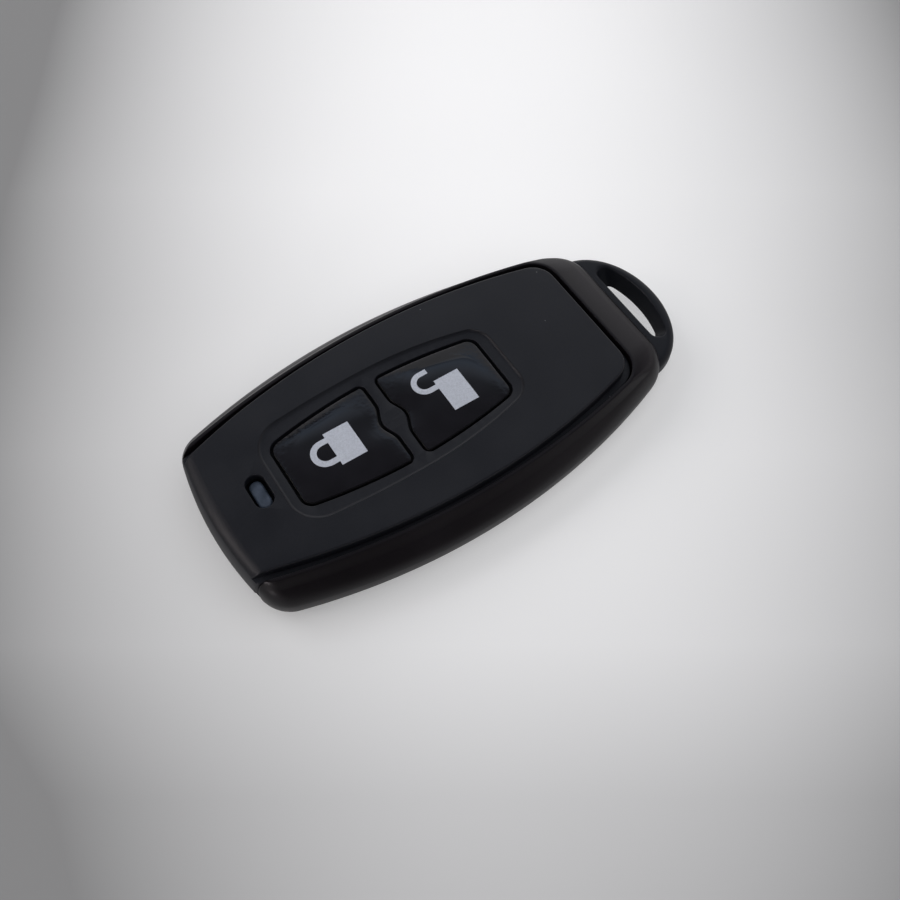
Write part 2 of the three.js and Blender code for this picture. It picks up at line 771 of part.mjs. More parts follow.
// A chip resistor or capacitor: a body between two raised metal ends.
function chipPart(x, y) {
  const top = boardTop + chipPartHeight;
  const ends = [-1, 1].map((sign) => slab(x + sign * (chipPartLength - terminalLength) / 2, y,
    terminalLength, chipPartWidth, boardTop, top + terminalLift));
  return join(slab(x, y, chipPartLength, chipPartWidth - terminalLift, boardTop, top), ...ends);
}

function controllerChip(x, y) {
  const body = slab(x, y, chipLength, chipWidth, boardTop + chipStandoff, boardTop + chipHeight);
  const first = -(legCount - 1) / 2;
  const legs = Array.from({ length: legCount }, (_, i) => x + (first + i) * legPitch).map((legX) => join(
    slab(legX, y, legWidth, chipWidth + 2 * legReach, boardTop, boardTop + legThickness),
    slab(legX, y, legWidth, chipWidth + legReach, boardTop, boardTop + chipHeight / 2)));
  return join(body, ...legs);
}

function sawResonator(x, y) {
  const lidBottom = boardTop + sawHeight - sawLid;
  return join(
    slab(x, y, sawLength, sawWidth, boardTop, lidBottom),
    slab(x, y, sawLength - 2 * sawLidInset, sawWidth - 2 * sawLidInset, boardTop, boardTop + sawHeight));
}

function crystal(x, y) {
  const lidBottom = boardTop + crystalHeight - sawLid;
  return join(
    slab(x, y, crystalLength, crystalWidth, boardTop, lidBottom),
    slab(x, y, crystalLength - 2 * sawLidInset, crystalWidth - 2 * sawLidInset,
      boardTop, boardTop + crystalHeight));
}

function outputTransistor(x, y) {
  const legLength = transistorWidth + 2 * terminalLength;
  const legPlaces = [
    [x - transistorLength / 3, y - terminalLength / 2],
    [x + transistorLength / 3, y - terminalLength / 2],
    [x, y + terminalLength / 2],
  ];
  const legs = legPlaces.map(([legX, legY]) => slab(legX, legY, terminalLength, legLength,
    boardTop, boardTop + legThickness));
  return join(slab(x, y, transistorLength, transistorWidth, boardTop, boardTop + transistorHeight), ...legs);
}

function loopAntenna() {
  const form = hollowForm(boardTop, boardClearance + antennaInset);
  const strip = cut(prism(barrel(form), boardTop, boardTop + antennaHeight),
    prism(barrel(form, antennaWidth), boardTop - overrun, boardTop + overrun));
  return strip.intersect(block([form.loopEnd - antennaReach, everything[1]], across, [boardTop, bodyHeight]));
}

const cellX = hollowForm(partingHigh, seatClearance + lipWall).loopEnd - cellToLip - cellRadius;

function coinCell() {
  const canTop = cellTop - cellCapHeight;
  const geometry = new THREE.LatheGeometry([
    new THREE.Vector2(0, cellBottom),
    new THREE.Vector2(cellRadius - cellRounding, cellBottom),
    new THREE.Vector2(cellRadius, cellBottom + cellRounding),
    new THREE.Vector2(cellRadius, canTop - cellRounding),
    new THREE.Vector2(cellRadius - cellRounding, canTop),
    new THREE.Vector2(cellCapRadius, canTop),
    new THREE.Vector2(cellCapRadius - cellRounding, cellTop),
    new THREE.Vector2(0, cellTop),
  ], cellRound);
  geometry.rotateX(Math.PI / 2);
  geometry.translate(cellX, 0, 0);
  return solid(geometry);
}

// A strip bent to a path in the plane across X, and as wide along X as it is said to be.
function bentStrip(points, middle, width) {
  const geometry = new THREE.ExtrudeGeometry(new THREE.Shape(points), { depth: width, bevelEnabled: false });
  geometry.rotateX(Math.PI / 2);
  geometry.rotateZ(Math.PI / 2);
  geometry.translate(middle - width / 2, 0, 0);
  return solid(geometry);
}

// The clip that takes the cell from below and is soldered to the board by its feet.
function positiveContact() {
  const inner = cellRadius + clipSideClearance;
  const outer = inner + clipThickness;
  const halfPath = [
    [outer + clipFoot, boardBottom], [outer + clipFoot, boardBottom - clipThickness],
    [outer, boardBottom - clipThickness], [outer, clipBottom],
  ];
  const halfBack = [[inner, clipBottom + clipThickness], [inner, boardBottom]];
  const points = [
    ...halfPath.map(([y, z]) => new THREE.Vector2(y, z)),
    ...halfPath.map(([y, z]) => new THREE.Vector2(-y, z)).reverse(),
    ...halfBack.map(([y, z]) => new THREE.Vector2(-y, z)).reverse(),
    ...halfBack.map(([y, z]) => new THREE.Vector2(y, z)),
  ];
  return bentStrip(points, cellX, clipWidth);
}

// The leaf between the board and the cell's cap.
function negativeContact() {
  const tip = cellTop + seatClearance / 2;
  const points = [
    [-leafRoot, boardBottom], [-leafRoot, boardBottom - leafThickness], [0, boardBottom - leafThickness],
    [leafLength - leafRoot, tip], [leafLength - leafRoot, tip + leafThickness], [0, boardBottom],
  ];
  return bentStrip(points.map(([y, z]) => new THREE.Vector2(y, z)), cellX, leafWidth);
}

function boardScrew(y) {
  const headTop = boardTop + screwHeadHeight;
  const screw = join(
    disc(screwX, y, screwRadius, boardTop - screwLength, boardTop + screwHeadHeight / 2),
    disc(screwX, y, screwHeadRadius, boardTop, headTop));
  return cut(screw,
    slab(screwX, y, driveLength, driveWidth, headTop - driveDepth, headTop + overrun),
    slab(screwX, y, driveWidth, driveLength, headTop - driveDepth, headTop + overrun));
}

const lockLength = bridgeCentre - windowLedEnd;
const unlockLength = windowLoopEnd - bridgeCentre;

// Two rows of parts between the antenna and the unlock button
const rowEnd = hollowForm(boardTop, boardClearance + antennaInset + antennaWidth).loopEnd - partSpacing;
const crystalX = rowEnd - crystalLength / 2;
const chipX = rowEnd - crystalLength - partSpacing - chipLength / 2;
const transistorX = rowEnd - transistorLength / 2;
const sawX = rowEnd - transistorLength - partSpacing - sawLength / 2;
const resistorX = ledX + ledSlotWidth / 2 + lensFlange + partSpacing + chipPartLength / 2;
const resistorY = screwY - screwHeadRadius - partSpacing - chipPartWidth / 2;

const remote = new THREE.Group();
remote.add(
  piece('front_cover', frontCover(), panelBlack),
  piece('side_frame', sideFrame(), frameBlack),
  piece('back_cover', backCover(), panelBlack),
  piece('lock_button', button(lockSide, lockCentre), capBlack),
  piece('unlock_button', button(unlockSide, unlockCentre), capBlack),
  piece('lock_label', label(lockSide, lockCentre, lockLength), glossBlack),
  piece('unlock_label', label(unlockSide, unlockCentre, unlockLength), glossBlack),
  piece('led_lens', ledLens(), lensBlue),
  piece('status_led', statusLed(), ledWhite),
  piece('circuit_board', circuitBoard(), boardGreen),
);
for (const [name, centre] of [['lock', lockCentre], ['unlock', unlockCentre]]) {
  remote.add(
    piece(`${name}_switch_base`, switchBase(centre), switchBlack),
    piece(`${name}_switch_cover`, switchCover(centre), sheetSteel),
    piece(`${name}_switch_plunger`, switchPlunger(centre), switchBlack),
  );
}
remote.add(
  piece('clock_crystal', crystal(crystalX, -partsFromMiddle), sheetSteel),
  piece('controller_chip', controllerChip(chipX, -partsFromMiddle), chipBlack),
  piece('saw_resonator', sawResonator(sawX, partsFromMiddle), sheetSteel),
  piece('output_transistor', outputTransistor(transistorX, partsFromMiddle), chipBlack),
  piece('supply_capacitor', chipPart(bridgeCentre, smallPartsFromMiddle), ceramicTan),
  piece('filter_capacitor', chipPart(bridgeCentre, -smallPartsFromMiddle), ceramicTan),
  piece('led_resistor', chipPart(resistorX, resistorY), chipBlack),
  piece('pull_up_resistor', chipPart(resistorX, -resistorY), chipBlack),
  piece('loop_antenna', loopAntenna(), copper),
  piece('coin_cell', coinCell(), sheetSteel),
  piece('positive_contact', positiveContact(), sheetSteel),
  piece('negative_contact', negativeContact(), sheetSteel),
  ...screwPlaces.map((y, i) => piece(`board_screw_${i + 1}`, boardScrew(y), sheetSteel)),
);

export default remote;
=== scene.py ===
"""Two-button wireless remote control: its looks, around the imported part.

Shapes are worked out in millimetres, in the part's own frame, and every finished mesh is brought to metres.
+X runs to the key loop, +Y across and +Z up.
"""

import logging
import math
from collections.abc import Callable, Iterable, Sequence
from dataclasses import dataclass, replace
from enum import Enum

import bmesh
import bpy
from mathutils import Matrix, Vector, noise

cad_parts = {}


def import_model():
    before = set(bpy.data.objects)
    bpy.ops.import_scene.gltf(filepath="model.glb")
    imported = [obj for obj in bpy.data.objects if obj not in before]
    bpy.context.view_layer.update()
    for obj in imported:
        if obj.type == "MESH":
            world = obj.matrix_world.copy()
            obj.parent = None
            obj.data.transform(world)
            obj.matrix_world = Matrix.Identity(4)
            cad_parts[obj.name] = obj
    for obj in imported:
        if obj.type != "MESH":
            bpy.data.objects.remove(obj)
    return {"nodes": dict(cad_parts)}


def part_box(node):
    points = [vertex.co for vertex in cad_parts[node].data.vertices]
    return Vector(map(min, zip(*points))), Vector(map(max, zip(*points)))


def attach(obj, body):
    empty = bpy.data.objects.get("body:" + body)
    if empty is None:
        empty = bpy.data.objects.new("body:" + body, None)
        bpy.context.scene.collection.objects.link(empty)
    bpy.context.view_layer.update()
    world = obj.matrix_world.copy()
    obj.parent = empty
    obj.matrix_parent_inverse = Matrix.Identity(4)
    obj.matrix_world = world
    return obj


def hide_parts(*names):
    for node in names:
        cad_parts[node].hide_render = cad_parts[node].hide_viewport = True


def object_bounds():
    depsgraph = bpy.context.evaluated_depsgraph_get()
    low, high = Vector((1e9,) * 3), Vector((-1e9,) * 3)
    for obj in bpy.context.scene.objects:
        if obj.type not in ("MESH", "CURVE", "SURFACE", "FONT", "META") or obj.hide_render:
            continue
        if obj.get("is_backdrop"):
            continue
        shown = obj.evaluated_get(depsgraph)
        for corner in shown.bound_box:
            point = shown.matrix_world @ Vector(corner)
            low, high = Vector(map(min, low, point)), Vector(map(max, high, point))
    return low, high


log = logging.getLogger("remote")

MM = 0.001
TOUCHING = 1e-4
ON_LEVEL = 0.01
HAIR = 1e-6
LEAST_CORNER = 0.2
HALVINGS = 48
SHARP_ANGLE = math.radians(40)
QUARTER_TURN = math.pi / 2
FULL_TURN = 2 * math.pi

Outline = list[Vector]
Colour = tuple[float, float, float]


class Side(Enum):
    """Which of the two buttons, by the way it lies from the bridge along X."""

    LOCK = -1
    UNLOCK = 1

    @property
    def label(self) -> str:
        """The button's name in the part."""
        return self.name.lower()


class Cut(Enum):
    """What one body does to another."""

    JOIN = "UNION"
    TAKE = "DIFFERENCE"


# Outlines in plan

def run(start: Vector, end: Vector, steps: int) -> Outline:
    """Points along a straight line, without its last.

    Args:
        start: First point.
        end: Point that the line runs to.
        steps: Number of parts that the line is divided into.

    Returns:
        The points.
    """
    return [start.lerp(end, i / steps) for i in range(steps)]


@dataclass(frozen=True)
class Round:
    """A circle in plan, by its centre and radius."""

    x: float
    y: float
    radius: float

    def at(self, angle: float) -> Vector:
        """The point of the circle at an angle from +X."""
        return Vector((self.x + self.radius * math.cos(angle), self.y + self.radius * math.sin(angle), 0))

    def arc(self, start: float, end: float, steps: int) -> Outline:
        """Points along an arc, without its last.

        Args:
            start: Angle that the arc begins at.
            end: Angle that the arc runs to.
            steps: Number of parts that the arc is divided into.

        Returns:
            The points.
        """
        return [self.at(start + (end - start) * i / steps) for i in range(steps)]


@dataclass(frozen=True)
class Steps:
    """Into how many parts each stretch of an outline is divided."""

    end: int = 8
    corner: int = 10
    side: int = 64
    split: int = 5


STEPS = Steps()


@dataclass(frozen=True)
class Barrel:
    """An outline of two bowed sides with round corners, a straight loop end and a LED end that may be bowed."""

    widest: float
    led_end: float
    loop_end: float
    half: float
    led_bow: float
    loop_bow: float
    led_corner: float
    loop_corner: float
    end_bow: float = 0.0

    def inset(self, by: float) -> "Barrel":
        """The outline drawn in all round."""
        return replace(self.drawn_in(by), led_end=self.led_end + by,
                       led_corner=max(self.led_corner - by, LEAST_CORNER),
                       end_bow=self.end_bow - by if self.end_bow else 0.0)

    def drawn_in(self, by: float) -> "Barrel":
        """The outline drawn in on its sides and loop end only."""
        return replace(self, loop_end=self.loop_end - by, half=self.half - by, led_bow=self.led_bow - by,
                       loop_bow=self.loop_bow - by, loop_corner=max(self.loop_corner - by, LEAST_CORNER))

    def side_at(self, x: float) -> float:
        """How far the bowed side lies from the middle line at a place along it."""
        bow = self.loop_bow if x > self.widest else self.led_bow
        return self.half - bow + math.sqrt(bow ** 2 - (x - self.widest) ** 2)

    def corner(self, end: float, bow: float, radius: float) -> tuple[float, float, float]:
        """Where a corner's round meets an end and a side.

        Args:
            end: How far the end lies from the widest place.
            bow: Radius of the side.
            radius: Radius of the corner.

        Returns:
            The centre's place along and across, and the angle at which the side takes over.
        """
        along = end - radius
        across = math.sqrt((bow - radius) ** 2 - along ** 2) - (bow - self.half)
        return along, across, math.atan2(across + bow - self.half, along)

    def loop_round(self) -> tuple[Round, float]:
        """The corner at the loop end, and the angle at which the side takes over."""
        along, across, turn = self.corner(self.loop_end - self.widest, self.loop_bow, self.loop_corner)
        return Round(self.widest + along, across, self.loop_corner), turn

    def led_round(self) -> tuple[Round, float, float]:
        """The corner at the LED end, and the angles at which it takes over from the side and meets the end."""
        if not self.end_bow:
            along, across, turn = self.corner(self.widest - self.led_end, self.led_bow, self.led_corner)
            return Round(self.widest - along, across, self.led_corner), math.pi - turn, math.pi
        side = Vector((0, self.half - self.led_bow))
        end = Vector((self.widest - self.led_end - self.end_bow, 0))
        from_side, from_end = self.led_bow - self.led_corner, self.end_bow - self.led_corner
        towards, apart = (end - side).normalized(), (end - side).length
        reach = (from_side ** 2 - from_end ** 2 + apart ** 2) / (2 * apart)
        off = math.sqrt(from_side ** 2 - reach ** 2)
        centre = side + towards * reach + Vector((towards.y, -towards.x)) * off
        turn, end_turn = (math.atan2((centre - about).y, (centre - about).x) for about in (side, end))
        return Round(self.widest - centre.x, centre.y, self.led_corner), math.pi - turn, math.pi - end_turn

    def led_point(self, place: float) -> Vector:
        """A point of the LED end's half: 0 at the bowed side, 1 where the corner ends, 2 on the middle line."""
        led, start, stop = self.led_round()
        if place < 1:
            return led.at(start + (stop - start) * place)
        if not self.end_bow:
            return Vector((self.led_end, led.y * (2 - place), 0))
        end = Round(self.led_end + self.end_bow, 0, self.end_bow)
        return end.at(stop + (math.pi - stop) * (place - 1))

    def led_run(self, start: float, end: float, steps: int) -> Outline:
        """Points along the LED end's half from one place to another, without the last."""
        return [self.led_point(start + (end - start) * i / steps) for i in range(steps)]

    def side_run(self, start: float, end: float, steps: int) -> Outline:
        """Points of the bowed side from one place along it to another, without the last."""
        places = [start + (end - start) * i / steps for i in range(steps)]
        return [Vector((x, self.side_at(x), 0)) for x in places]

    def loop_run(self, stop: float) -> Outline:
        """Points of the +Y half from the loop end's middle up to a place along the side, without the last."""
        loop, loop_turn = self.loop_round()
        return [
            *run(Vector((self.loop_end, 0, 0)), Vector((self.loop_end, loop.y, 0)), STEPS.end),
            *loop.arc(0, loop_turn, STEPS.corner),
            *self.side_run(loop.at(loop_turn).x, stop, STEPS.side),
        ]

    def whole(self) -> Outline:
        """The whole outline, from the loop end's middle by the +Y side and the LED end back again."""
        return mirrored([
            *self.loop_run(self.led_point(0).x),
            *self.led_run(0, 1, STEPS.corner + STEPS.split),
            *self.led_run(1, 2, STEPS.end),
            Vector((self.led_end, 0, 0)),
        ])

    def blended(self, other: "Barrel", **shares: float) -> "Barrel":
        """The outline with some of its sizes brought towards another's, each by a share of its own."""
        sizes = {}
        for name, share in shares.items():
            own = getattr(self, name)
            sizes[name] = own + (getattr(other, name) - own) * share
        return replace(self, **sizes)


def mirrored(path: Outline) -> Outline:
    """A whole outline from its +Y half, whose ends lie on the middle line."""
    return [*path, *(Vector((p.x, -p.y, p.z)) for p in reversed(path[1:-1]))]


def lifted(outline: Iterable[Vector], height: float | Callable[[Vector], float]) -> Outline:
    """An outline at a height, or at one that depends on the place."""
    if callable(height):
        return [Vector((p.x, p.y, height(p))) for p in outline]
    return [Vector((p.x, p.y, height)) for p in outline]


def solve(f: Callable[[float], float], low: float, high: float) -> float:
    """Where a function that is positive at low and negative at high crosses zero."""
    for _ in range(HALVINGS):
        middle = (low + high) / 2
        if f(middle) > 0:
            low = middle
        else:
            high = middle
    return (low + high) / 2


@dataclass(frozen=True)
class Lean:
    """A leaning curve up to a crease, and a straight slope beyond, as shares of the overhang and of the height."""

    first: tuple[float, float]
    second: tuple[float, float]
    crease: tuple[float, float] = (1.0, 1.0)

    def point(self, t: float) -> tuple[float, float]:
        """The curve's share of overhang and of height at its own parameter."""
        a, b, c = 3 * (1 - t) ** 2 * t, 3 * (1 - t) * t ** 2, t ** 3
        first, second, last = self.first, self.second, self.crease
        return a * first[0] + b * second[0] + c * last[0], a * first[1] + b * second[1] + c * last[1]

    def at(self, share: float) -> float:
        """The share of the overhang at a share of the height."""
        bounded = min(max(share, 0.0), 1.0)
        over, high = self.crease
        if bounded > high:
            return over + (1 - over) * (bounded - high) / (1 - high)
        return self.point(solve(lambda t: bounded - self.point(t)[1], 0.0, 1.0))[0]

    def heights(self, low: float, high: float, count: int) -> list[float]:
        """Heights between two levels at which the curve is sampled evenly."""
        shares = [self.point(i / count)[1] for i in range(count + 1)]
        if self.crease[1] < 1:
            shares += [(1 + self.crease[1]) / 2, 1.0]
        return [low + (high - low) * share for share in shares]


def rounding(z: float, top: float, radius: float) -> float:
    """How far an outline is drawn in at a height, where its top edge is rounded."""
    into = min(max(z - top + radius, 0.0), radius)
    return radius - math.sqrt(radius ** 2 - into ** 2)


# Meshes

class Walls:
    """A closed rim of vertices that is drawn from outline to outline and leaves a wall behind it."""

    def __init__(self, bm: bmesh.types.BMesh, outline: Outline, shared: "Walls | None" = None) -> None:
        """Lays the first rim.

        Args:
            bm: The mesh that the wall is built in.
            outline: Places of the rim's vertices, in order.
            shared: A rim of the same mesh whose vertices are taken where the two coincide.
        """
        self.bm = bm
        if shared is None:
            made = bmesh.ops.create_circle(bm, cap_ends=False, segments=len(outline), radius=1)
            self.rim = list(made["verts"])
            for vert, place in zip(self.rim, outline):
                vert.co = place
            return
        self.rim = []
        for place in outline:
            near = [v for v in shared.rim if (v.co - place).length < TOUCHING]
            self.rim.append(near[0] if near else bmesh.ops.create_vert(bm, co=place)["vert"][0])
        for a, b in zip(self.rim, self.rim[1:] + self.rim[:1]):
            if bm.edges.get((a, b)) is None:
                bm.edges.new((a, b))

    def edges(self) -> list[bmesh.types.BMEdge]:
        """The edges of the rim as it is now."""
        pairs = zip(self.rim, self.rim[1:] + self.rim[:1])
        return [e for e in (self.bm.edges.get(pair) for pair in pairs) if e is not None]

    def draw(self, *outlines: Outline) -> "Walls":
        """Draws the rim on through outlines that have as many points as it has."""
        for outline in outlines:
            made = bmesh.ops.extrude_edge_only(self.bm, edges=self.edges())["geom"]
            fresh = {g for g in made if isinstance(g, bmesh.types.BMVert)}
            following = []
            for vert, place in zip(self.rim, outline):
                other = next(e.other_vert(vert) for e in vert.link_edges if e.other_vert(vert) in fresh)
                other.co = place
                following.append(other)
            self.rim = following
        return self

    def close(self) -> None:
        """Closes the rim with one face."""
        bmesh.ops.contextual_create(self.bm, geom=self.edges())


def close_through(bm: bmesh.types.BMesh, *outlines: Outline) -> None:
    """Builds a closed body that runs through outlines, with a face at each end."""
    walls = Walls(bm, outlines[0])
    walls.close()
    walls.draw(*outlines[1:])
    walls.close()


def floor_between(bm: bmesh.types.BMesh, *rims: "Walls | list[bmesh.types.BMEdge]") -> None:
    """Fills the flat region between rims, of which the first goes round the others."""
    edges = [e for rim in rims for e in (rim.edges() if isinstance(rim, Walls) else rim)]
    bmesh.ops.triangle_fill(bm, use_beauty=True, use_dissolve=False, edges=edges)


def eased(bm: bmesh.types.BMesh, radius: float, chosen: Callable[[bmesh.types.BMEdge], bool],
          segments: int = 3, least: float = SHARP_ANGLE) -> None:
    """Rounds the outward sharp edges that are chosen.

    Args:
        bm: The mesh.
        radius: How far the round reaches on each side of the edge.
        chosen: Says which edges are rounded, of those that are sharp.
        segments: Faces across the round.
        least: Angle between two faces from which an edge is sharp.
    """
    bmesh.ops.recalc_face_normals(bm, faces=bm.faces)
    edges = [e for e in bm.edges if e.is_manifold and e.calc_face_angle_signed() > least and chosen(e)]
    bmesh.ops.bevel(bm, geom=edges, offset=radius, offset_type="OFFSET", segments=segments, profile=0.5,
                    affect="EDGES", clamp_overlap=False, material=-1)


def middle(edge: bmesh.types.BMEdge) -> Vector:
    """The middle of an edge."""
    return (edge.verts[0].co + edge.verts[1].co) / 2


def linked(name: str, data: bpy.types.ID) -> bpy.types.Object:
    """Puts a mesh, a lamp or a camera into the scene as an object."""
    made = bpy.data.objects.new(name, data)
    bpy.context.scene.collection.objects.link(made)
    return made


def mesh_of(bm: bmesh.types.BMesh, name: str) -> bpy.types.Mesh:
    """Writes a working mesh to a mesh of its own, and frees it."""
    mesh = bpy.data.meshes.new(name)
    bm.to_mesh(mesh)
    bm.free()
    return mesh


def object_of(bm: bmesh.types.BMesh, name: str) -> bpy.types.Object:
    """Makes an object of a mesh that is still in millimetres, and frees the mesh."""
    bmesh.ops.remove_doubles(bm, verts=bm.verts, dist=TOUCHING / 2)
    bmesh.ops.recalc_face_normals(bm, faces=bm.faces)
    if bm.calc_volume(signed=True) < 0:
        bmesh.ops.reverse_faces(bm, faces=bm.faces)
    return linked(name, mesh_of(bm, name))


def combined(body: bpy.types.Object, tool: bpy.types.Object, cut: Cut) -> bpy.types.Object:
    """Joins a tool to a body, or takes it out of the body. The tool is used up.

    Args:
        body: The object that stays.
        tool: The object that is joined or taken out.
        cut: Which of the two.

    Returns:
        The body.
    """
    modifier = body.modifiers.new("cut", "BOOLEAN")
    modifier.operation = cut.value
    modifier.solver = "EXACT"
    modifier.object = tool
    graph = bpy.context.evaluated_depsgraph_get()
    mesh = bpy.data.meshes.new_from_object(body.evaluated_get(graph))
    if not mesh.polygons:
        raise ValueError(f"{body.name} is empty after the cut")
    body.modifiers.clear()
    spent = body.data
    body.data = mesh
    bpy.data.meshes.remove(spent)
    bpy.data.objects.remove(tool)
    return body


def finish(piece: bpy.types.Object, body: str, material: bpy.types.Material,
           stands_for: tuple[str, ...] = ()) -> None:
    """Brings a piece to metres, smooths its shading, dresses it and puts it on its body.

    Args:
        piece: The object, still in millimetres.
        body: The CAD body that it rides on.
        material: Its finish.
        stands_for: CAD nodes that it is shown in place of.
    """
    piece.data.transform(Matrix.Scale(MM, 4))
    piece.data.materials.clear()
    piece.data.materials.append(material)
    piece.data.shade_smooth()
    piece.data.set_sharp_from_angle(angle=SHARP_ANGLE)
    weighted = piece.modifiers.new("normals", "WEIGHTED_NORMAL")
    weighted.keep_sharp = True
    weighted.weight = 100
    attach(piece, body)
    if stands_for:
        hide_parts(*stands_for)
    log.info("%s: %d faces on %s", piece.name, len(piece.data.polygons), body)


# Sizes

@dataclass(frozen=True)
class Plan:
    """Sizes of the remote, in millimetres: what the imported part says, and what its source says."""

    led_end: float
    loop_tip: float
    half: float
    top: float
    rim: float
    led_x: float
    cap_top: float
    label_top: float
    parting_low: float = 2.85
    parting_high: float = 2.95
    foot_top: float = 3.7
    belt: float = 4.75
    ceiling: float = 8.25
    tuck: float = 3.0
    led_overhang: float = 2.4
    loop_reach: float = 6.5
    end_bow: float = 50.0
    crest_bow: float = 95.0
    belt_widest: float = -5.2
    belt_bow: float = 92.5
    belt_led_corner: float = 5.0
    belt_loop_corner: float = 5.5
    side_band: float = 4.0
    loop_band: float = 6.6
    panel_widest: float = -3.7
    panel_overrun: float = 1.0
    panel_led_bow: float = 102.0
    panel_loop_bow: float = 93.0
    panel_loop_corner: float = 3.5
    ledge: float = 0.5
    loop_ledge: float = 0.85
    ledge_led_bow: float = 112.0
    ledge_loop_bow: float = 108.0
    gap: float = 0.12
    rim_width: float = 0.5
    inner_led_corner: float = 3.0
    skirt_wall: float = 1.3
    end_wall: float = 1.4
    end_wall_depth: float = 4.0
    seat: float = 0.1
    bridge_x: float = -8.6
    side_lean: Lean = Lean((0, 0.24), (0.42, 0.54), (0.69, 0.7))
    loop_lean: Lean = Lean((0, 0.62), (0.3, 0.9))
    led_lean: Lean = Lean((0, 0.5), (0.25, 0.93))

    @classmethod
    def from_frame(cls) -> "Plan":
        """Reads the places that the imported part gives."""
        cover, frame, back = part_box("front_cover"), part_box("side_frame"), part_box("back_cover")
        lens, cap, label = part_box("led_lens"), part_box("lock_button"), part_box("lock_label")
        return cls(led_end=cover[0].x / MM, loop_tip=back[1].x / MM, half=frame[1].y / MM,
                   top=cover[1].z / MM, rim=frame[1].z / MM, led_x=(lens[0].x + lens[1].x) / 2 / MM,
                   cap_top=cap[1].z / MM, label_top=label[1].z / MM)

    @property
    def frame_end(self) -> float:
        """Where the side frame ends and the key loop stands free."""
        return self.loop_tip - self.loop_reach

    @property
    def belt_form(self) -> Barrel:
        """The outline at the belt, where the remote is widest."""
        return Barrel(self.belt_widest, self.led_end, self.frame_end, self.half, self.belt_bow, self.belt_bow,
                      self.belt_led_corner, self.belt_loop_corner, self.end_bow)

    @property
    def panel_form(self) -> Barrel:
        """The raised panel's outline, which runs out past the LED end."""
        return Barrel(self.panel_widest, self.led_end - self.panel_overrun, self.frame_end - self.loop_band,
                      self.half - self.side_band, self.panel_led_bow, self.panel_loop_bow, LEAST_CORNER,
                      self.panel_loop_corner)

    @property
    def ledge_form(self) -> Barrel:
        """The outline of the front cover below the raised panel."""
        panel = self.panel_form
        return replace(panel.drawn_in(-self.ledge), loop_end=panel.loop_end + self.loop_ledge,
                       led_bow=self.ledge_led_bow, loop_bow=self.ledge_loop_bow)

    @property
    def inner_form(self) -> Barrel:
        """The inside of the side frame."""
        return self.ledge_form.drawn_in(-self.gap)

    @property
    def rim_form(self) -> Barrel:
        """The outside of the side frame's flat rim."""
        return replace(self.inner_form.drawn_in(-self.rim_width), led_corner=self.inner_led_corner)

    def led_end_at(self, z: float) -> float:
        """The LED end's place at a height, with the tuck left out."""
        return self.led_end + self.led_overhang * self.led_lean.at((z - self.belt) / (self.top - self.belt))

    def tuck_at(self, z: float) -> float:
        """How far the outline is drawn in below the belt."""
        drop = min(max((self.belt - z) / self.belt, 0.0), 1.0)
        return self.tuck * (1 - math.sqrt(1 - drop ** 2))

    def skin_at(self, z: float) -> Barrel:
        """The outside of the whole remote at a height."""
        share = (z - self.belt) / (self.rim - self.belt)
        side, led_end = self.side_lean.at(share), self.led_end_at(z)
        rolled = (led_end - self.led_end) / self.led_overhang
        leaning = self.belt_form.blended(self.rim_form, widest=side, half=side, led_bow=side, loop_bow=side,
                                         led_corner=side, loop_corner=side, loop_end=self.loop_lean.at(share))
        return replace(leaning, led_end=led_end, end_bow=self.end_bow + (self.crest_bow - self.end_bow) * rolled
                       ).inset(self.tuck_at(z))

    def hollow_at(self, z: float, inset: float = 0.0) -> Barrel:
        """The hollow of the front cover at a height."""
        form = self.ledge_form.drawn_in(self.skirt_wall + inset)
        end = self.led_end_at(z) + self.tuck_at(z) + self.end_wall + inset
        return replace(form, led_end=end, led_corner=self.inner_led_corner,
                       end_bow=self.end_bow - self.end_wall - inset)

    def meeting(self, skin: Barrel, side: Barrel) -> float:
        """The place on the skin's LED end at which another outline's side runs into it."""
        return solve(lambda s: skin.led_point(s).y - side.side_at(skin.led_point(s).x), 0, 2)


# Front cover, side frame and back cover

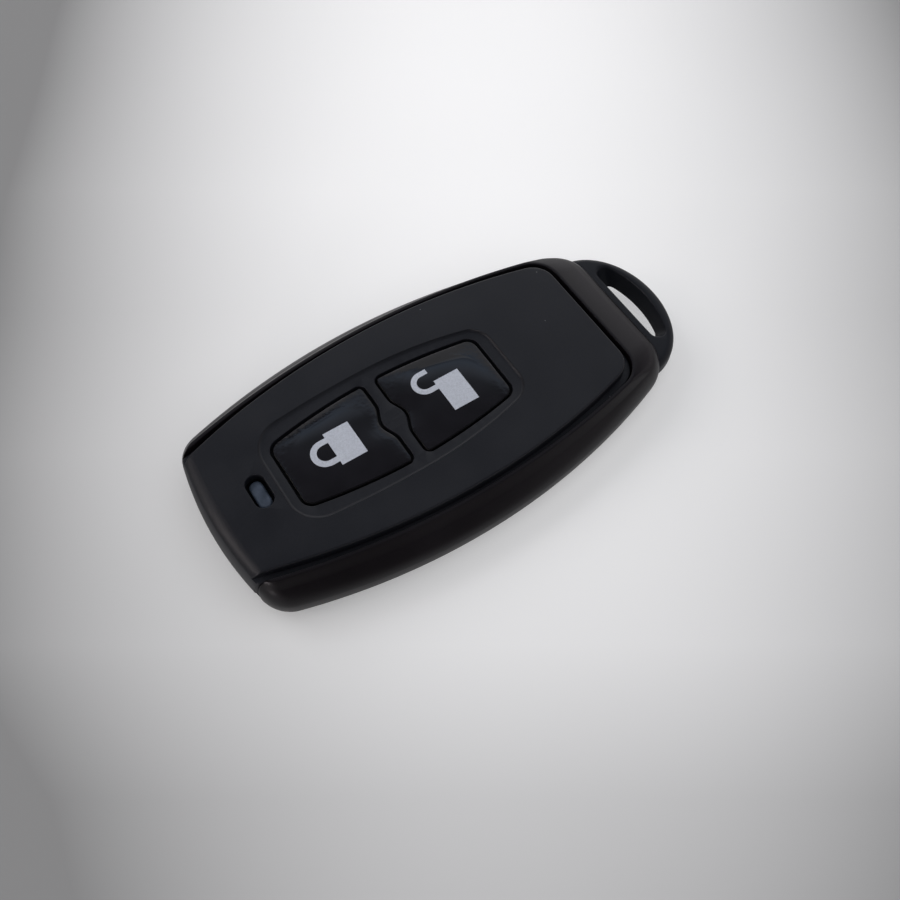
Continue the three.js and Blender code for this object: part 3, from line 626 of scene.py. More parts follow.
@dataclass
class FrontCover:
    """The matt cover: a raised panel on a narrow ledge, rolled over at the LED end."""

    plan: Plan
    roll_levels: int = 34
    skirt_shares: tuple[float, ...] = (0.0, 0.35, 0.7)
    hollow_levels: tuple[float, ...] = (7.6, 6.8, 5.8)
    level_room: float = 0.05
    panel_round: float = 0.3
    groove: float = 8.0
    ledge_round: float = 0.18
    ledge_shares: tuple[float, ...] = (1.0, 0.6, 0.3, 0.1)
    corner_round: float = 0.2
    corner_angle: float = math.radians(25)
    corner_reach: float = 1.2
    corner_upright_share: float = 0.35
    settle_from: float = -24.0
    settle_reach: float = 11.0
    settle_depth: float = 0.5
    window_round: float = 0.07
    pad_depth: float = 0.35
    pad_draft: float = 0.5
    pad_ease: float = 2.4
    pad_shares: tuple[float, ...] = (0.1, 0.22, 0.36, 0.52, 0.72, 1.0)
    pad_form: Barrel = Barrel(-8.6, -26.55, 9.55, 8.8, 140, 62, 4.5, 3.4)
    slot_width: float = 2.7
    slot_length: float = 5.2
    slot_zone: tuple[float, float] = (2.0, 3.2)

    def path(self, z: float, side: Barrel, inner: Barrel | None) -> Outline:
        """The +Y half of the cover's outline at a height.

        Args:
            z: Height.
            side: The outline of its side and loop end.
            inner: The outline at whose meeting with the rolled end a vertex is kept, or None.

        Returns:
            The points, from the loop end's middle to the LED end's.
        """
        skin = self.plan.skin_at(z)
        outer_meeting = self.plan.meeting(skin, side)
        split = self.plan.meeting(skin, inner) if inner else outer_meeting
        return [
            *side.loop_run(skin.led_point(outer_meeting).x),
            *(skin.led_run(outer_meeting, split, STEPS.split) if inner else []),
            *skin.led_run(split, 2, STEPS.corner + STEPS.end),
            Vector((skin.led_end, 0, 0)),
        ]

    def foot(self, point: Vector, z: float) -> float:
        """The height of a point of the wall, whose foot stands higher beyond the end wall."""
        plan = self.plan
        skirt = plan.foot_top + plan.seat
        if point.x < plan.led_end + plan.end_wall_depth or z >= plan.belt:
            return z
        return skirt + (z - plan.parting_high) * (plan.belt - skirt) / (plan.belt - plan.parting_high)

    def outside(self, z: float) -> Outline:
        """The outline below the ledge at a height."""
        side = self.plan.ledge_form.drawn_in(rounding(z, self.groove, self.ledge_round))
        ring = mirrored(self.path(z, side, self.plan.panel_form))
        return lifted(ring, lambda p: self.foot(p, z))

    def panel(self, z: float) -> Outline:
        """The raised panel's outline at a height, with its edge rounded."""
        side = self.plan.panel_form.drawn_in(rounding(z, self.plan.top, self.panel_round))
        return lifted(mirrored(self.path(z, side, None)), z)

    def inside(self, z: float) -> Outline:
        """The hollow's outline at a height."""
        return lifted(self.plan.hollow_at(z).whole(), lambda p: self.foot(p, z))

    def slot(self, widen: float, z: float) -> Outline:
        """The indicator slot's outline at a height."""
        radius = self.slot_width / 2 + widen
        reach = (self.slot_length - self.slot_width) / 2
        steps = 3 * STEPS.corner
        far, near = Round(self.plan.led_x, reach, radius), Round(self.plan.led_x, -reach, radius)
        points = [*far.arc(0, math.pi, steps), far.at(math.pi), *near.arc(math.pi, FULL_TURN, steps),
                  near.at(FULL_TURN)]
        return lifted(points, z)

    def mesh(self, windows: "Windows") -> bmesh.types.BMesh:
        """Builds the cover's mesh round the button windows."""
        plan, bm = self.plan, bmesh.new()
        below = [plan.parting_high + (plan.belt - plan.parting_high) * share for share in self.skirt_shares]
        roll = plan.led_lean.heights(plan.belt, plan.top, self.roll_levels)
        edge = [self.groove - self.ledge_round * share for share in self.ledge_shares]
        lower = [z for z in roll if z < edge[0] - self.level_room] + edge
        upper = [z for z in roll if z > self.groove + self.level_room]
        hollow = Walls(bm, self.inside(plan.ceiling))
        ceiling = hollow.edges()
        hollow.draw(*(self.inside(z) for z in (*self.hollow_levels, plan.belt, *reversed(below))))
        shell = hollow.draw(*(self.outside(z) for z in (*below, *lower, self.groove)))
        raised = Walls(bm, self.panel(self.groove), shared=shell)
        common = set(shell.edges()) & set(raised.edges())
        floor_between(bm, [e for e in shell.edges() if e not in common],
                      [e for e in raised.edges() if e not in common])
        raised.draw(*(self.panel(z) for z in upper))
        pad_floor = plan.top - self.pad_depth
        pad = Walls(bm, self.pad_ring(0.0))
        slot = Walls(bm, self.slot(0, plan.top))
        floor_between(bm, raised, pad, slot)
        pad.draw(*(self.pad_ring(share) for share in self.pad_shares))
        openings = [Walls(bm, windows.outline(side, 0.0, pad_floor)) for side in Side]
        floor_between(bm, pad, *openings)
        for side, opening in zip(Side, openings):
            opening.draw(windows.outline(side, 0.0, plan.ceiling))
        slot.draw(self.slot(0, plan.ceiling))
        floor_between(bm, ceiling, slot, *openings)
        self.round_edges(bm, pad_floor)
        self.settle(bm)
        return bm

    def settle(self, bm: bmesh.types.BMesh) -> None:
        """Lets the panel sink a little towards the LED end, as the real one does."""
        for vert in bm.verts:
            into = max(self.settle_from - vert.co.x, 0.0) / self.settle_reach
            share = max(vert.co.z - self.plan.ceiling, 0.0) / (self.plan.top - self.plan.ceiling)
            vert.co.z -= self.settle_depth * into ** 2 * share

    def round_edges(self, bm: bmesh.types.BMesh, pad_floor: float) -> None:
        """Rounds the cover's edges as its mould does."""
        rim = self.plan.top - ON_LEVEL
        eased(bm, self.window_round, lambda e: abs(middle(e).z - pad_floor) < ON_LEVEL)
        eased(bm, self.window_round, lambda e: self.at_slot(middle(e)) and middle(e).z > rim)
        eased(bm, self.corner_round, self.at_corner, segments=4, least=self.corner_angle)

    def pad_ring(self, share: float) -> Outline:
        """The sunken pad's outline at a share of its sloping step."""
        drop = self.pad_depth * (1 - (1 - share) ** self.pad_ease)
        form = self.pad_form.inset(self.pad_draft * share)
        return lifted(form.whole(), self.plan.top - drop)

    def at_slot(self, place: Vector) -> bool:
        """Whether a place belongs to the indicator slot."""
        along, across = self.slot_zone
        return abs(place.x - self.plan.led_x) < along and abs(place.y) < across

    def at_corner(self, edge: bmesh.types.BMEdge) -> bool:
        """Whether an edge belongs to the upright corner beside the tip of the frame's arm."""
        plan, place = self.plan, middle(edge)
        low, high = (v.co for v in edge.verts)
        upright = abs(low.z - high.z) > self.corner_upright_share * (low - high).length
        outer = abs(place.y) > plan.panel_form.side_at(place.x) - self.corner_reach
        return upright and outer and place.x < plan.led_end + plan.end_wall_depth and \
            plan.parting_high < place.z < plan.top - self.panel_round


@dataclass
class Windows:
    """The outlines of the two button windows and of the bridge between them."""

    plan: Plan
    form: Barrel = Barrel(-8.6, -25.08, 7.7, 7.12, 78, 78, 1.9, 1.9)
    bridge_half: float = 0.75
    eye_half: float = 1.65
    eye_reach: float = 3.15
    flare: float = 1.2
    eye_steps: int = 22
    flare_steps: int = 8
    side_steps: int = 20

    def bridge_at(self, y: float, extra: float) -> float:
        """Half the bridge's width at a place across it, made wider by an extra."""
        reach = min(abs(y) / self.eye_reach, 1.0)
        eye = (self.eye_half - self.bridge_half) * math.cos(reach * QUARTER_TURN) ** 2
        into = min(max(abs(y) - (self.form.half - self.flare), 0.0), self.flare)
        return self.bridge_half + extra + eye + self.flare - math.sqrt(self.flare ** 2 - into ** 2)

    def outline(self, side: Side, inset: float, z: float, bridge_extra: float | None = None) -> Outline:
        """A window's outline, drawn in by an inset.

        Args:
            side: Which window.
            inset: How far it is drawn in; a negative one lets it out.
            z: Height.
            bridge_extra: How much wider the bridge is, if not by the inset.

        Returns:
            The points.
        """
        way = side.value
        extra = inset if bridge_extra is None else bridge_extra
        form = self.form.inset(inset)

        def bridge_point(y: float) -> Vector:
            """A point of the bridge's edge at a place across it."""
            return Vector((self.plan.bridge_x + way * self.bridge_at(y, extra), y, 0))

        flare_start = self.form.half - self.flare
        last = min(self.form.half, form.half) - HAIR
        meeting = solve(lambda y: form.side_at(bridge_point(y).x) - y, flare_start, last)
        turn_end = math.asin(min(max((meeting - flare_start) / self.flare, -1.0), 1.0))
        flare = [flare_start + self.flare * math.sin(turn_end * i / self.flare_steps)
                 for i in range(self.flare_steps)]
        corner, turn = form.led_round()[:2] if side is Side.LOCK else form.loop_round()
        end = form.led_end if side is Side.LOCK else form.loop_end
        last_turn = math.pi if side is Side.LOCK else 0.0
        path = [
            *(bridge_point(flare_start * i / self.eye_steps) for i in range(self.eye_steps)),
            *(bridge_point(y) for y in flare),
            *form.side_run(bridge_point(meeting).x, corner.at(turn).x, self.side_steps),
            *corner.arc(turn, last_turn, STEPS.corner),
            *run(Vector((end, corner.y, 0)), Vector((end, 0, 0)), STEPS.end),
            Vector((end, 0, 0)),
        ]
        return lifted(mirrored(path), z)


@dataclass
class SideFrame:
    """The satin frame: an arm along each side, joined round the loop end."""

    plan: Plan
    levels: int = 16
    knee: float = 4.3
    foot_high: float = 3.9
    foot_low: float = 3.4
    foot_width: float = 1.2
    edge_angle: float = math.radians(30)
    tip_upright_share: float = 0.5
    tip_round: float = 0.4
    rim_round: float = 0.12
    foot_round: float = 0.1

    def outer_path(self, z: float) -> Outline:
        """The +Y half of the outside at a height, up to the tip of the arm."""
        plan = self.plan
        skin = plan.skin_at(z)
        meeting = plan.meeting(skin, plan.inner_form)
        return [
            *skin.loop_run(skin.led_point(0).x),
            *skin.led_run(0, meeting, STEPS.corner),
            skin.led_point(meeting),
        ]

    def inner_path(self, tip: Vector, draw: float) -> Outline:
        """The +Y half of the inside, from the loop end's middle up to just before the tip."""
        return self.plan.inner_form.drawn_in(draw).loop_run(tip.x)

    def ring(self, outer_z: float, inner_z: float, foot: bool) -> Outline:
        """The frame's whole outline, with the heights of its outside and inside.

        Args:
            outer_z: Height of the outside.
            inner_z: Height of the inside.
            foot: Whether the inside is that of the foot under the front cover.

        Returns:
            The points, once round the outside and back along the inside.
        """
        outer = lifted(self.outer_path(outer_z), outer_z)
        wall = self.inner_path(outer[-1], 0.0)
        toe = self.inner_path(outer[-1], self.foot_width)
        bare = self.plan.led_end + self.plan.end_wall_depth
        inner = []
        for straight, drawn in zip(wall, toe):
            if straight.x < bare:
                inner.append(Vector((straight.x, straight.y, outer_z)))
            else:
                place = drawn if foot else straight
                inner.append(Vector((place.x, place.y, inner_z)))
        return mirrored([*outer, *reversed(inner)])

    def mesh(self) -> bmesh.types.BMesh:
        """Builds the frame's mesh."""
        plan, bm = self.plan, bmesh.new()
        lean = plan.side_lean.heights(plan.belt, plan.rim, self.levels)
        walls = Walls(bm, self.ring(plan.rim, plan.rim, False))
        rim = walls.edges()
        walls.draw(*(self.ring(z, z, False) for z in reversed(lean[:-1])))
        walls.draw(self.ring(self.knee, plan.foot_top, False), self.ring(self.foot_high, plan.foot_top, True),
                   *(self.ring(z, z, True) for z in (self.foot_low, plan.parting_high)))
        floor_between(bm, rim)
        floor_between(bm, walls)
        eased(bm, self.rim_round, lambda e: middle(e).z > plan.rim - ON_LEVEL, least=self.edge_angle)
        eased(bm, self.foot_round, lambda e: middle(e).z < plan.parting_high + ON_LEVEL)
        eased(bm, self.tip_round, self.at_tip, segments=4, least=self.edge_angle)
        return bm

    def at_tip(self, edge: bmesh.types.BMEdge) -> bool:
        """Whether an edge is the upright one at the tip of an arm."""
        low, high = (v.co for v in edge.verts)
        upright = abs(low.z - high.z) > self.tip_upright_share * (low - high).length
        return upright and middle(edge).x < self.plan.led_end + self.plan.end_wall_depth


@dataclass
class BackCover:
    """The tray under the parting line, with its lip and the key loop."""

    plan: Plan
    belly_levels: int = 14
    floor: float = 1.1
    lip_top: float = 5.1
    lip_wall: float = 0.9
    edge_round: float = 0.14
    loop_bottom: float = 2.6
    loop_thickness: float = 3.3
    loop_half: float = 11.4
    loop_root: float = 2.0
    loop_round: float = 1.1
    loop_band: float = 1.75
    loop_land: float = 1.05
    slot_half: float = 8.2
    slot_corner: float = 1.2
    slot_sag: float = 2.1
    slot_round: float = 0.3
    slot_room: tuple[float, float, float] = (0.15, 0.1, 0.3)
    slot_draft: float = 0.6
    slot_end_draft_share: float = 0.2
    arc_steps: int = 72
    round_steps: int = 6

    def tray(self) -> bpy.types.Object:
        """Builds the tray and its lip."""
        plan, bm = self.plan, bmesh.new()
        parting_turn = math.asin(1 - plan.parting_low / plan.belt)
        belly = [plan.belt * (1 - math.sin(QUARTER_TURN + (parting_turn - QUARTER_TURN) * i / self.belly_levels))
                 for i in range(self.belly_levels + 1)]
        lip = plan.hollow_at(plan.parting_high, plan.seat)
        outer, inner = lip.whole(), lip.inset(self.lip_wall).whole()
        close_through(bm, *(lifted(plan.skin_at(z).whole(), z) for z in belly), lifted(outer, plan.parting_low),
                      lifted(outer, self.lip_top), lifted(inner, self.lip_top), lifted(inner, self.floor))
        eased(bm, self.edge_round, lambda e: abs(middle(e).z - plan.parting_low) < ON_LEVEL)
        return object_of(bm, "back_shell")

    def loop_outline(self, inset: float, z: float, front: float) -> Outline:
        """The loop's outline at a height, closed by a straight line inside the body."""
        centre = self.plan.frame_end - self.loop_root
        long, wide = self.plan.loop_tip - centre - inset, self.loop_half - inset
        limit = math.acos((front - centre) / long)
        arc = []
        for i in range(self.arc_steps + 1):
            angle = -limit + 2 * limit * i / self.arc_steps
            arc.append(Vector((centre + long * math.cos(angle), wide * math.sin(angle), 0)))
        return lifted(arc, z)

    def slot_outline(self, z: float) -> Outline:
        """The D-shaped slot's outline at a height. Its curved side slopes in towards the bottom."""
        draft = self.slot_draft * (1 - (z - self.loop_bottom) / self.loop_thickness)
        flat = self.plan.frame_end + self.loop_land
        tip = self.plan.loop_tip - self.loop_band - draft
        half = self.slot_half - self.slot_end_draft_share * draft
        radius = (half ** 2 + self.slot_sag ** 2) / (2 * self.slot_sag)
        along = flat + self.slot_corner - (tip - radius)
        side = math.sqrt((radius - self.slot_corner) ** 2 - along ** 2)
        turn = math.atan2(side, along)
        path = [
            *Round(tip - radius, 0, radius).arc(0, turn, 2 * STEPS.corner),
            *Round(flat + self.slot_corner, side, self.slot_corner).arc(turn, math.pi, STEPS.corner),
            *run(Vector((flat, side, 0)), Vector((flat, 0, 0)), STEPS.end),
            Vector((flat, 0, 0)),
        ]
        return lifted(mirrored(path), z)

    def loop(self, clearance: float = 0.0, slotted: bool = True) -> bpy.types.Object:
        """Builds the key loop's plate.

        Args:
            clearance: How much larger the plate is made, for the pocket that takes it.
            slotted: Whether it has its slot.

        Returns:
            The plate as an object of its own.
        """
        bm = bmesh.new()
        front = self.plan.inner_form.loop_end + self.plan.seat - clearance
        low, high = self.loop_bottom - clearance, self.loop_bottom + self.loop_thickness + clearance
        turns = [QUARTER_TURN * i / self.round_steps for i in range(self.round_steps + 1)]
        rises = [(self.loop_round * (1 - math.cos(a)), self.loop_round * (1 - math.sin(a)) - clearance)
                 for a in turns]
        walls = Walls(bm, self.loop_outline(rises[0][1], low, front))
        bottom = walls.edges()
        walls.draw(*(self.loop_outline(inset, low + rise, front) for rise, inset in rises[1:]))
        walls.draw(*(self.loop_outline(inset, high - rise, front) for rise, inset in reversed(rises)))
        if not slotted:
            floor_between(bm, bottom)
            floor_between(bm, walls)
            return object_of(bm, "loop_plate")
        slot = Walls(bm, self.slot_outline(low))
        floor_between(bm, bottom, slot)
        slot.draw(self.slot_outline(high))
        floor_between(bm, walls, slot)
        eased(bm, self.slot_round, lambda e: self.at_slot(middle(e)), segments=4)
        return object_of(bm, "loop_plate")

    def at_slot(self, place: Vector) -> bool:
        """Whether a place lies within the loop's slot."""
        before, beyond, beside = self.slot_room
        start = self.plan.frame_end + self.loop_land - before
        stop = self.plan.loop_tip - self.loop_band + beyond
        return start < place.x < stop and abs(place.y) < self.slot_half + beside


@dataclass(frozen=True)
class Notch:
    """The pry notch at the near corner of the LED end, where the arm's tip, cover and tray meet."""

    plan: Plan
    width: float = 1.8
    height: float = 3.5
    depth: float = 1.0
    overrun: float = 1.0

    def wedge(self) -> bpy.types.Object:
        """Builds the wedge that is taken out, with its flat down on the parting line."""
        plan, bm = self.plan, bmesh.new()
        edge = plan.ledge_form.side_at(plan.led_end)
        sag = plan.end_bow - math.sqrt(plan.end_bow ** 2 - edge ** 2)
        start = plan.led_end - self.overrun
        corners = [(-self.width / 2, 0.0), (self.width / 2, 0.0), (0.0, self.height)]
        outline = [Vector((start, y - edge, plan.parting_low + z)) for y, z in corners]
        inward = Vector((self.overrun + sag + self.depth, 0, 0))
        close_through(bm, outline, [p + inward for p in outline])
        return object_of(bm, "notch_wedge")


# Buttons, labels and their signs

@dataclass
class Button:
    """A cap in its window, on a flange and a post, with a domed label and its padlock sign."""

    plan: Plan
    windows: Windows
    side: Side
    gap: float = 0.4
    label_inset: float = 0.1
    flange_reach: float = 0.8
    flange_split: float = 0.3
    flange_low: float = 7.75
    flange_high: float = 8.15
    post_radius: float = 1.2
    post_foot: float = 7.5
    cap_round: float = 0.12
    edge_height: float = 0.1
    print_room: float = 0.015
    rings: int = 30
    ring_power: float = 1.7
    fullness: float = 2.25
    shoulder: float = 0.62
    wander: float = 0.035
    wander_length: float = 1.1

    @property
    def centre(self) -> Vector:
        """The middle of the window."""
        end = self.windows.form.led_end if self.side is Side.LOCK else self.windows.form.loop_end
        return Vector(((end + self.plan.bridge_x) / 2, 0, 0))

    def cap(self) -> bpy.types.Object:
        """Builds the cap with its flange and post."""
        bm = bmesh.new()
        cap = self.windows.outline(self.side, self.gap, self.plan.cap_top)
        split = self.flange_split - self.windows.bridge_half
        flange = self.windows.outline(self.side, -self.flange_reach, self.flange_low, split)
        post = Round(self.centre.x, 0, self.post_radius)
        ring = [post.at(math.atan2(p.y, p.x - self.centre.x)) for p in cap]
        close_through(bm, lifted(ring, self.post_foot), lifted(ring, self.flange_low), flange,
                      lifted(flange, self.flange_high), lifted(cap, self.flange_high), cap)
        eased(bm, self.cap_round, lambda e: middle(e).z > self.plan.cap_top - ON_LEVEL)
        return object_of(bm, f"{self.side.label}_cap")

    def swell(self, place: Vector) -> float:
        """The share of the dome's height at a place, from nothing at the edge to one in the middle."""
        inset = self.gap + self.label_inset
        form = self.windows.form.inset(inset)
        across = min(abs(place.y) / form.side_at(place.x), 1.0)
        bridge = self.plan.bridge_x + self.side.value * self.windows.bridge_at(place.y, inset)
        end = form.led_end if self.side is Side.LOCK else form.loop_end
        along = min(abs(place.x - (bridge + end) / 2) / (abs(end - bridge) / 2), 1.0)
        return ((1 - along ** self.fullness) * (1 - across ** self.fullness)) ** self.shoulder

    def surface(self, place: Vector) -> float:
        """The height of the dome's surface at a place."""
        crown = self.plan.label_top - self.print_room - self.plan.cap_top - self.edge_height
        return self.plan.cap_top + self.edge_height + crown * self.swell(place)

    def label(self) -> bpy.types.Object:
        """Builds the domed label."""
        bm = bmesh.new()
        base = self.windows.outline(self.side, self.gap + self.label_inset, 0.0)
        edge = []
        for point in base:
            inward = (self.centre - point).normalized()
            wave = noise.noise(Vector((point.x, point.y, self.side.value)) / self.wander_length)
            edge.append(point + inward * self.wander * (0.5 + wave))
        outlines = [lifted(edge, self.plan.cap_top)]
        for i in range(self.rings):
            share = 1 - (i / self.rings) ** self.ring_power
            ring = [self.centre + (p - self.centre) * share for p in edge]
            outlines.append(lifted(ring, self.surface))
        close_through(bm, *outlines)
        return object_of(bm, f"{self.side.label}_dome")


@dataclass
class Padlock:
    """The padlock sign on a label, open or shut, as a thin skin on the dome."""

    button: Button
    near: float
    far: float
    low: float
    high: float
    ring_x: float
    ring_y: float
    ring_half: float
    stroke: float
    shut: bool
    free_end: float = 0.05
    proud: float = 0.012
    grid: float = 0.25
    grid_offset: float = 0.013

    @classmethod
    def on(cls, button: Button) -> "Padlock":
        """The sign that belongs on a button's label."""
        if button.side is Side.LOCK:
            return cls(button, near=-17.93, far=-14.14, low=-2.55, high=2.86, ring_x=-18.93, ring_y=0.16,
                       ring_half=2.06, stroke=0.86, shut=True)
        return cls(button, near=-1.08, far=2.75, low=-3.55, high=1.9, ring_x=-2.2, ring_y=2.38,
                   ring_half=1.9, stroke=0.8, shut=False)

    def shackle(self, radius: float) -> Outline:
        """One arc of the shackle, from its +Y leg round to the other."""
        ring = Round(self.ring_x, self.ring_y, radius)
        return [*ring.arc(QUARTER_TURN, 3 * QUARTER_TURN, 2 * STEPS.corner), ring.at(3 * QUARTER_TURN)]

    def body_outline(self) -> Outline:
        """The outline of the padlock's body and shackle together."""
        outer, inner = self.shackle(self.ring_half), self.shackle(self.ring_half - self.stroke)
        leg_end = self.near if self.shut else self.near + self.free_end
        body = [(self.near, outer[-1].y), (self.near, self.low), (self.far, self.low), (self.far, self.high),
                (self.near, self.high)]
        points = [Vector((leg_end, outer[0].y, 0)), *outer, *(Vector((x, y, 0)) for x, y in body)]
        if self.shut:
            return points
        return [*points, Vector((self.near, inner[-1].y, 0)), *reversed(inner),
                Vector((leg_end, inner[0].y, 0))]

    def hole_outline(self) -> Outline:
        """The outline of the hole under a shut shackle."""
        arc = self.shackle(self.ring_half - self.stroke)
        return [Vector((self.near, arc[0].y, 0)), *arc, Vector((self.near, arc[-1].y, 0))]

    def sign(self) -> bpy.types.Object:
        """Builds the sign and lays it on the dome."""
        bm = bmesh.new()
        outline = Walls(bm, self.body_outline())
        rims = [outline, Walls(bm, self.hole_outline())] if self.shut else [outline]
        floor_between(bm, *rims)
        self.divide(bm)
        under = list(bm.faces)
        made = bmesh.ops.extrude_face_region(bm, geom=under)["geom"]
        top = {g for g in made if isinstance(g, bmesh.types.BMVert)}
        for vert in bm.verts:
            height = self.button.surface(vert.co)
            vert.co.z = height + (self.proud if vert in top else -self.proud)
        return object_of(bm, f"{self.button.side.label}_sign")

    def divide(self, bm: bmesh.types.BMesh) -> None:
        """Cuts the flat sign into a fine grid, so that it can follow the dome."""
        ranges = [(min(v.co[axis] for v in bm.verts), max(v.co[axis] for v in bm.verts)) for axis in (0, 1)]
        for (low, high), normal in zip(ranges, (Vector((1, 0, 0)), Vector((0, 1, 0)))):
            for i in range(1, int((high - low) / self.grid) + 1):
                place = normal * (low + i * self.grid + self.grid_offset)
                geom = [*bm.verts, *bm.edges, *bm.faces]
                bmesh.ops.bisect_plane(bm, geom=geom, dist=TOUCHING / 10, plane_co=place, plane_no=normal)


@dataclass
class Lens:
    """The light guide in the indicator slot, sunken and softly crowned."""

    cover: FrontCover
    clearance: float = 0.42
    recess: float = 1.0
    crown: float = 0.08
    flange: float = 0.6
    low: float = 7.45
    flange_high: float = 8.15
    edge_width: float = 0.3
    edge_height: float = 0.25
    edge_steps: int = 6

    def lens(self) -> bpy.types.Object:
        """Builds the lens with its flange."""
        bm, slot = bmesh.new(), self.cover.slot
        top = self.cover.plan.top - self.recess
        outlines = [slot(self.flange, self.low), slot(self.flange, self.flange_high),
                    slot(-self.clearance, self.flange_high), slot(-self.clearance, top - self.edge_height)]
        for i in range(1, self.edge_steps + 1):
            turn = QUARTER_TURN * i / self.edge_steps
            inset = self.clearance + self.edge_width * (1 - math.cos(turn))
            drop = self.edge_height * (1 - math.sin(turn)) + self.crown * (1 - i / self.edge_steps)
            outlines.append(slot(-inset, top - drop))
        close_through(bm, *outlines)
        return object_of(bm, "led_window")


# Finishes

class Graph:
    """A short way to lay shader nodes."""

    def __init__(self, tree: bpy.types.NodeTree) -> None:
        """Takes an empty tree."""
        self.tree = tree
        tree.nodes.clear()

    def node(self, kind: str, inputs: dict[str | int, object] | None = None, **settings: object) -> bpy.types.Node:
        """Adds a node.

        Args:
            kind: The node's type without its ShaderNode prefix.
            inputs: Values, or sockets to link, by the input's name or number.
            settings: The node's own properties.

        Returns:
            The node.
        """
        made = self.tree.nodes.new(f"ShaderNode{kind}")
        for key, value in settings.items():
            setattr(made, key, value)
        for key, value in (inputs or {}).items():
            if isinstance(value, bpy.types.NodeSocket):
                self.tree.links.new(value, made.inputs[key])
            else:
                made.inputs[key].default_value = value
        return made

    def place(self) -> bpy.types.NodeSocket:
        """The place on the object, in metres."""
        return self.node("TexCoord").outputs["Object"]

    def ramp(self, value: bpy.types.NodeSocket, stops: Sequence[tuple[float, Colour]]) -> bpy.types.NodeSocket:
        """Colours by a value."""
        made = self.node("ValToRGB", {0: value})
        elements = made.color_ramp.elements
        while len(elements) < len(stops):
            elements.new(0.5)
        for element, (position, colour) in zip(elements, stops):
            element.position = position
            element.color = (*colour, 1)
        return made.outputs["Color"]

    def math(self, operation: str, first: object, second: object) -> bpy.types.NodeSocket:
        """A sum, product or the like of two values or sockets."""
        return self.node("Math", {0: first, 1: second}, operation=operation).outputs[0]

    def noise(self, size: float, detail: float = 3.0, roughness: float = 0.55) -> bpy.types.NodeSocket:
        """Noise whose patches are about a size in millimetres."""
        made = self.node("TexNoise", {"Vector": self.place(), "Scale": 1 / (size * MM), "Detail": detail,
                                      "Roughness": roughness})
        return made.outputs["Fac"]

    def remap(self, value: bpy.types.NodeSocket, low: float, high: float, to_low: float = 0.0,
              to_high: float = 1.0) -> bpy.types.NodeSocket:
        """Brings a value from one range to another, and holds it there."""
        made = self.node("MapRange", {"Value": value, "From Min": low, "From Max": high, "To Min": to_low,
                                      "To Max": to_high})
        return made.outputs["Result"]

    def spread(self, value: bpy.types.NodeSocket, low: float, high: float) -> bpy.types.NodeSocket:
        """Brings noise from its usual middle range to a range of one's own."""
        return self.remap(value, 0.3, 0.7, low, high)

    def mix(self, share: bpy.types.NodeSocket, first: object, second: object) -> bpy.types.NodeSocket:
        """Goes from one colour to another by a share."""
        return self.node("Mix", {"Factor": share, 6: first, 7: second}, data_type="RGBA").outputs[2]

    def dot(self, place: bpy.types.NodeSocket, way: tuple[float, float, float]) -> bpy.types.NodeSocket:
        """How far a place lies in a direction."""
        return self.node("VectorMath", {0: place, 1: way}, operation="DOT_PRODUCT").outputs["Value"]

    def height(self, place: bpy.types.NodeSocket) -> bpy.types.NodeSocket:
        """How high a place lies."""
        return self.node("SeparateXYZ", {0: place}).outputs["Z"]

    def bump(self, height: bpy.types.NodeSocket, depth: float, strength: float,
             under: bpy.types.NodeSocket | None = None) -> bpy.types.NodeSocket:
        """A bump of a depth in millimetres, over another."""
        inputs: dict[str | int, object] = {"Height": height, "Distance": depth * MM, "Strength": strength}
        if under is not None:
            inputs["Normal"] = under
        return self.node("Bump", inputs).outputs["Normal"]

    def surface(self, **inputs: object) -> None:
        """Ends the tree with one principled shader, whose inputs go by name with _ for a space."""
        named = {key.replace("_", " "): value for key, value in inputs.items()}
        shader = self.node("BsdfPrincipled", named)
        self.node("OutputMaterial", {"Surface": shader.outputs["BSDF"]})


def new_material(name: str) -> tuple[bpy.types.Material, Graph]:
    """An empty node material and its graph."""
    material = bpy.data.materials.new(name)
    material.use_nodes = True
    return material, Graph(material.node_tree)


@dataclass(frozen=True)
class Moulding:
    """Moulded plastic with a fine grain, slight unevenness and a few specks of dust."""

    name: str
    deep: Colour
    light: Colour
    roughness: tuple[float, float]
    grain: float
    grain_depth: float
    specks: float = 0.0
    sheen: float = 0.5
    speck_pitch: float = 3.2
    speck_edge: tuple[float, float] = (0.024, 0.012)
    speck_colour: Colour = (0.3, 0.3, 0.31)

    def material(self) -> bpy.types.Material:
        """Builds the node material."""
        material, graph = new_material(self.name)
        patches = graph.noise(9.0, 2.0)
        fine = graph.noise(self.grain, 2.0, 0.6)
        mixed = graph.math("MULTIPLY", patches, graph.noise(0.3, 3.0, 0.7))
        colour = graph.ramp(mixed, [(0.16, self.deep), (0.34, self.light)])
        if self.specks:
            cells = graph.node("TexVoronoi", {"Vector": graph.place(), "Scale": 1 / (self.speck_pitch * MM)})
            dots = graph.remap(cells.outputs["Distance"], *self.speck_edge, to_high=self.specks)
            colour = graph.mix(dots, colour, (*self.speck_colour, 1))
        waves = graph.bump(graph.noise(1.4, 1.0), 0.006, 0.25)
        graph.surface(Base_Color=colour, Roughness=graph.spread(patches, *self.roughness),
                      Normal=graph.bump(fine, self.grain_depth, 0.5, waves), IOR=1.5,
                      Specular_IOR_Level=self.sheen)
        return material


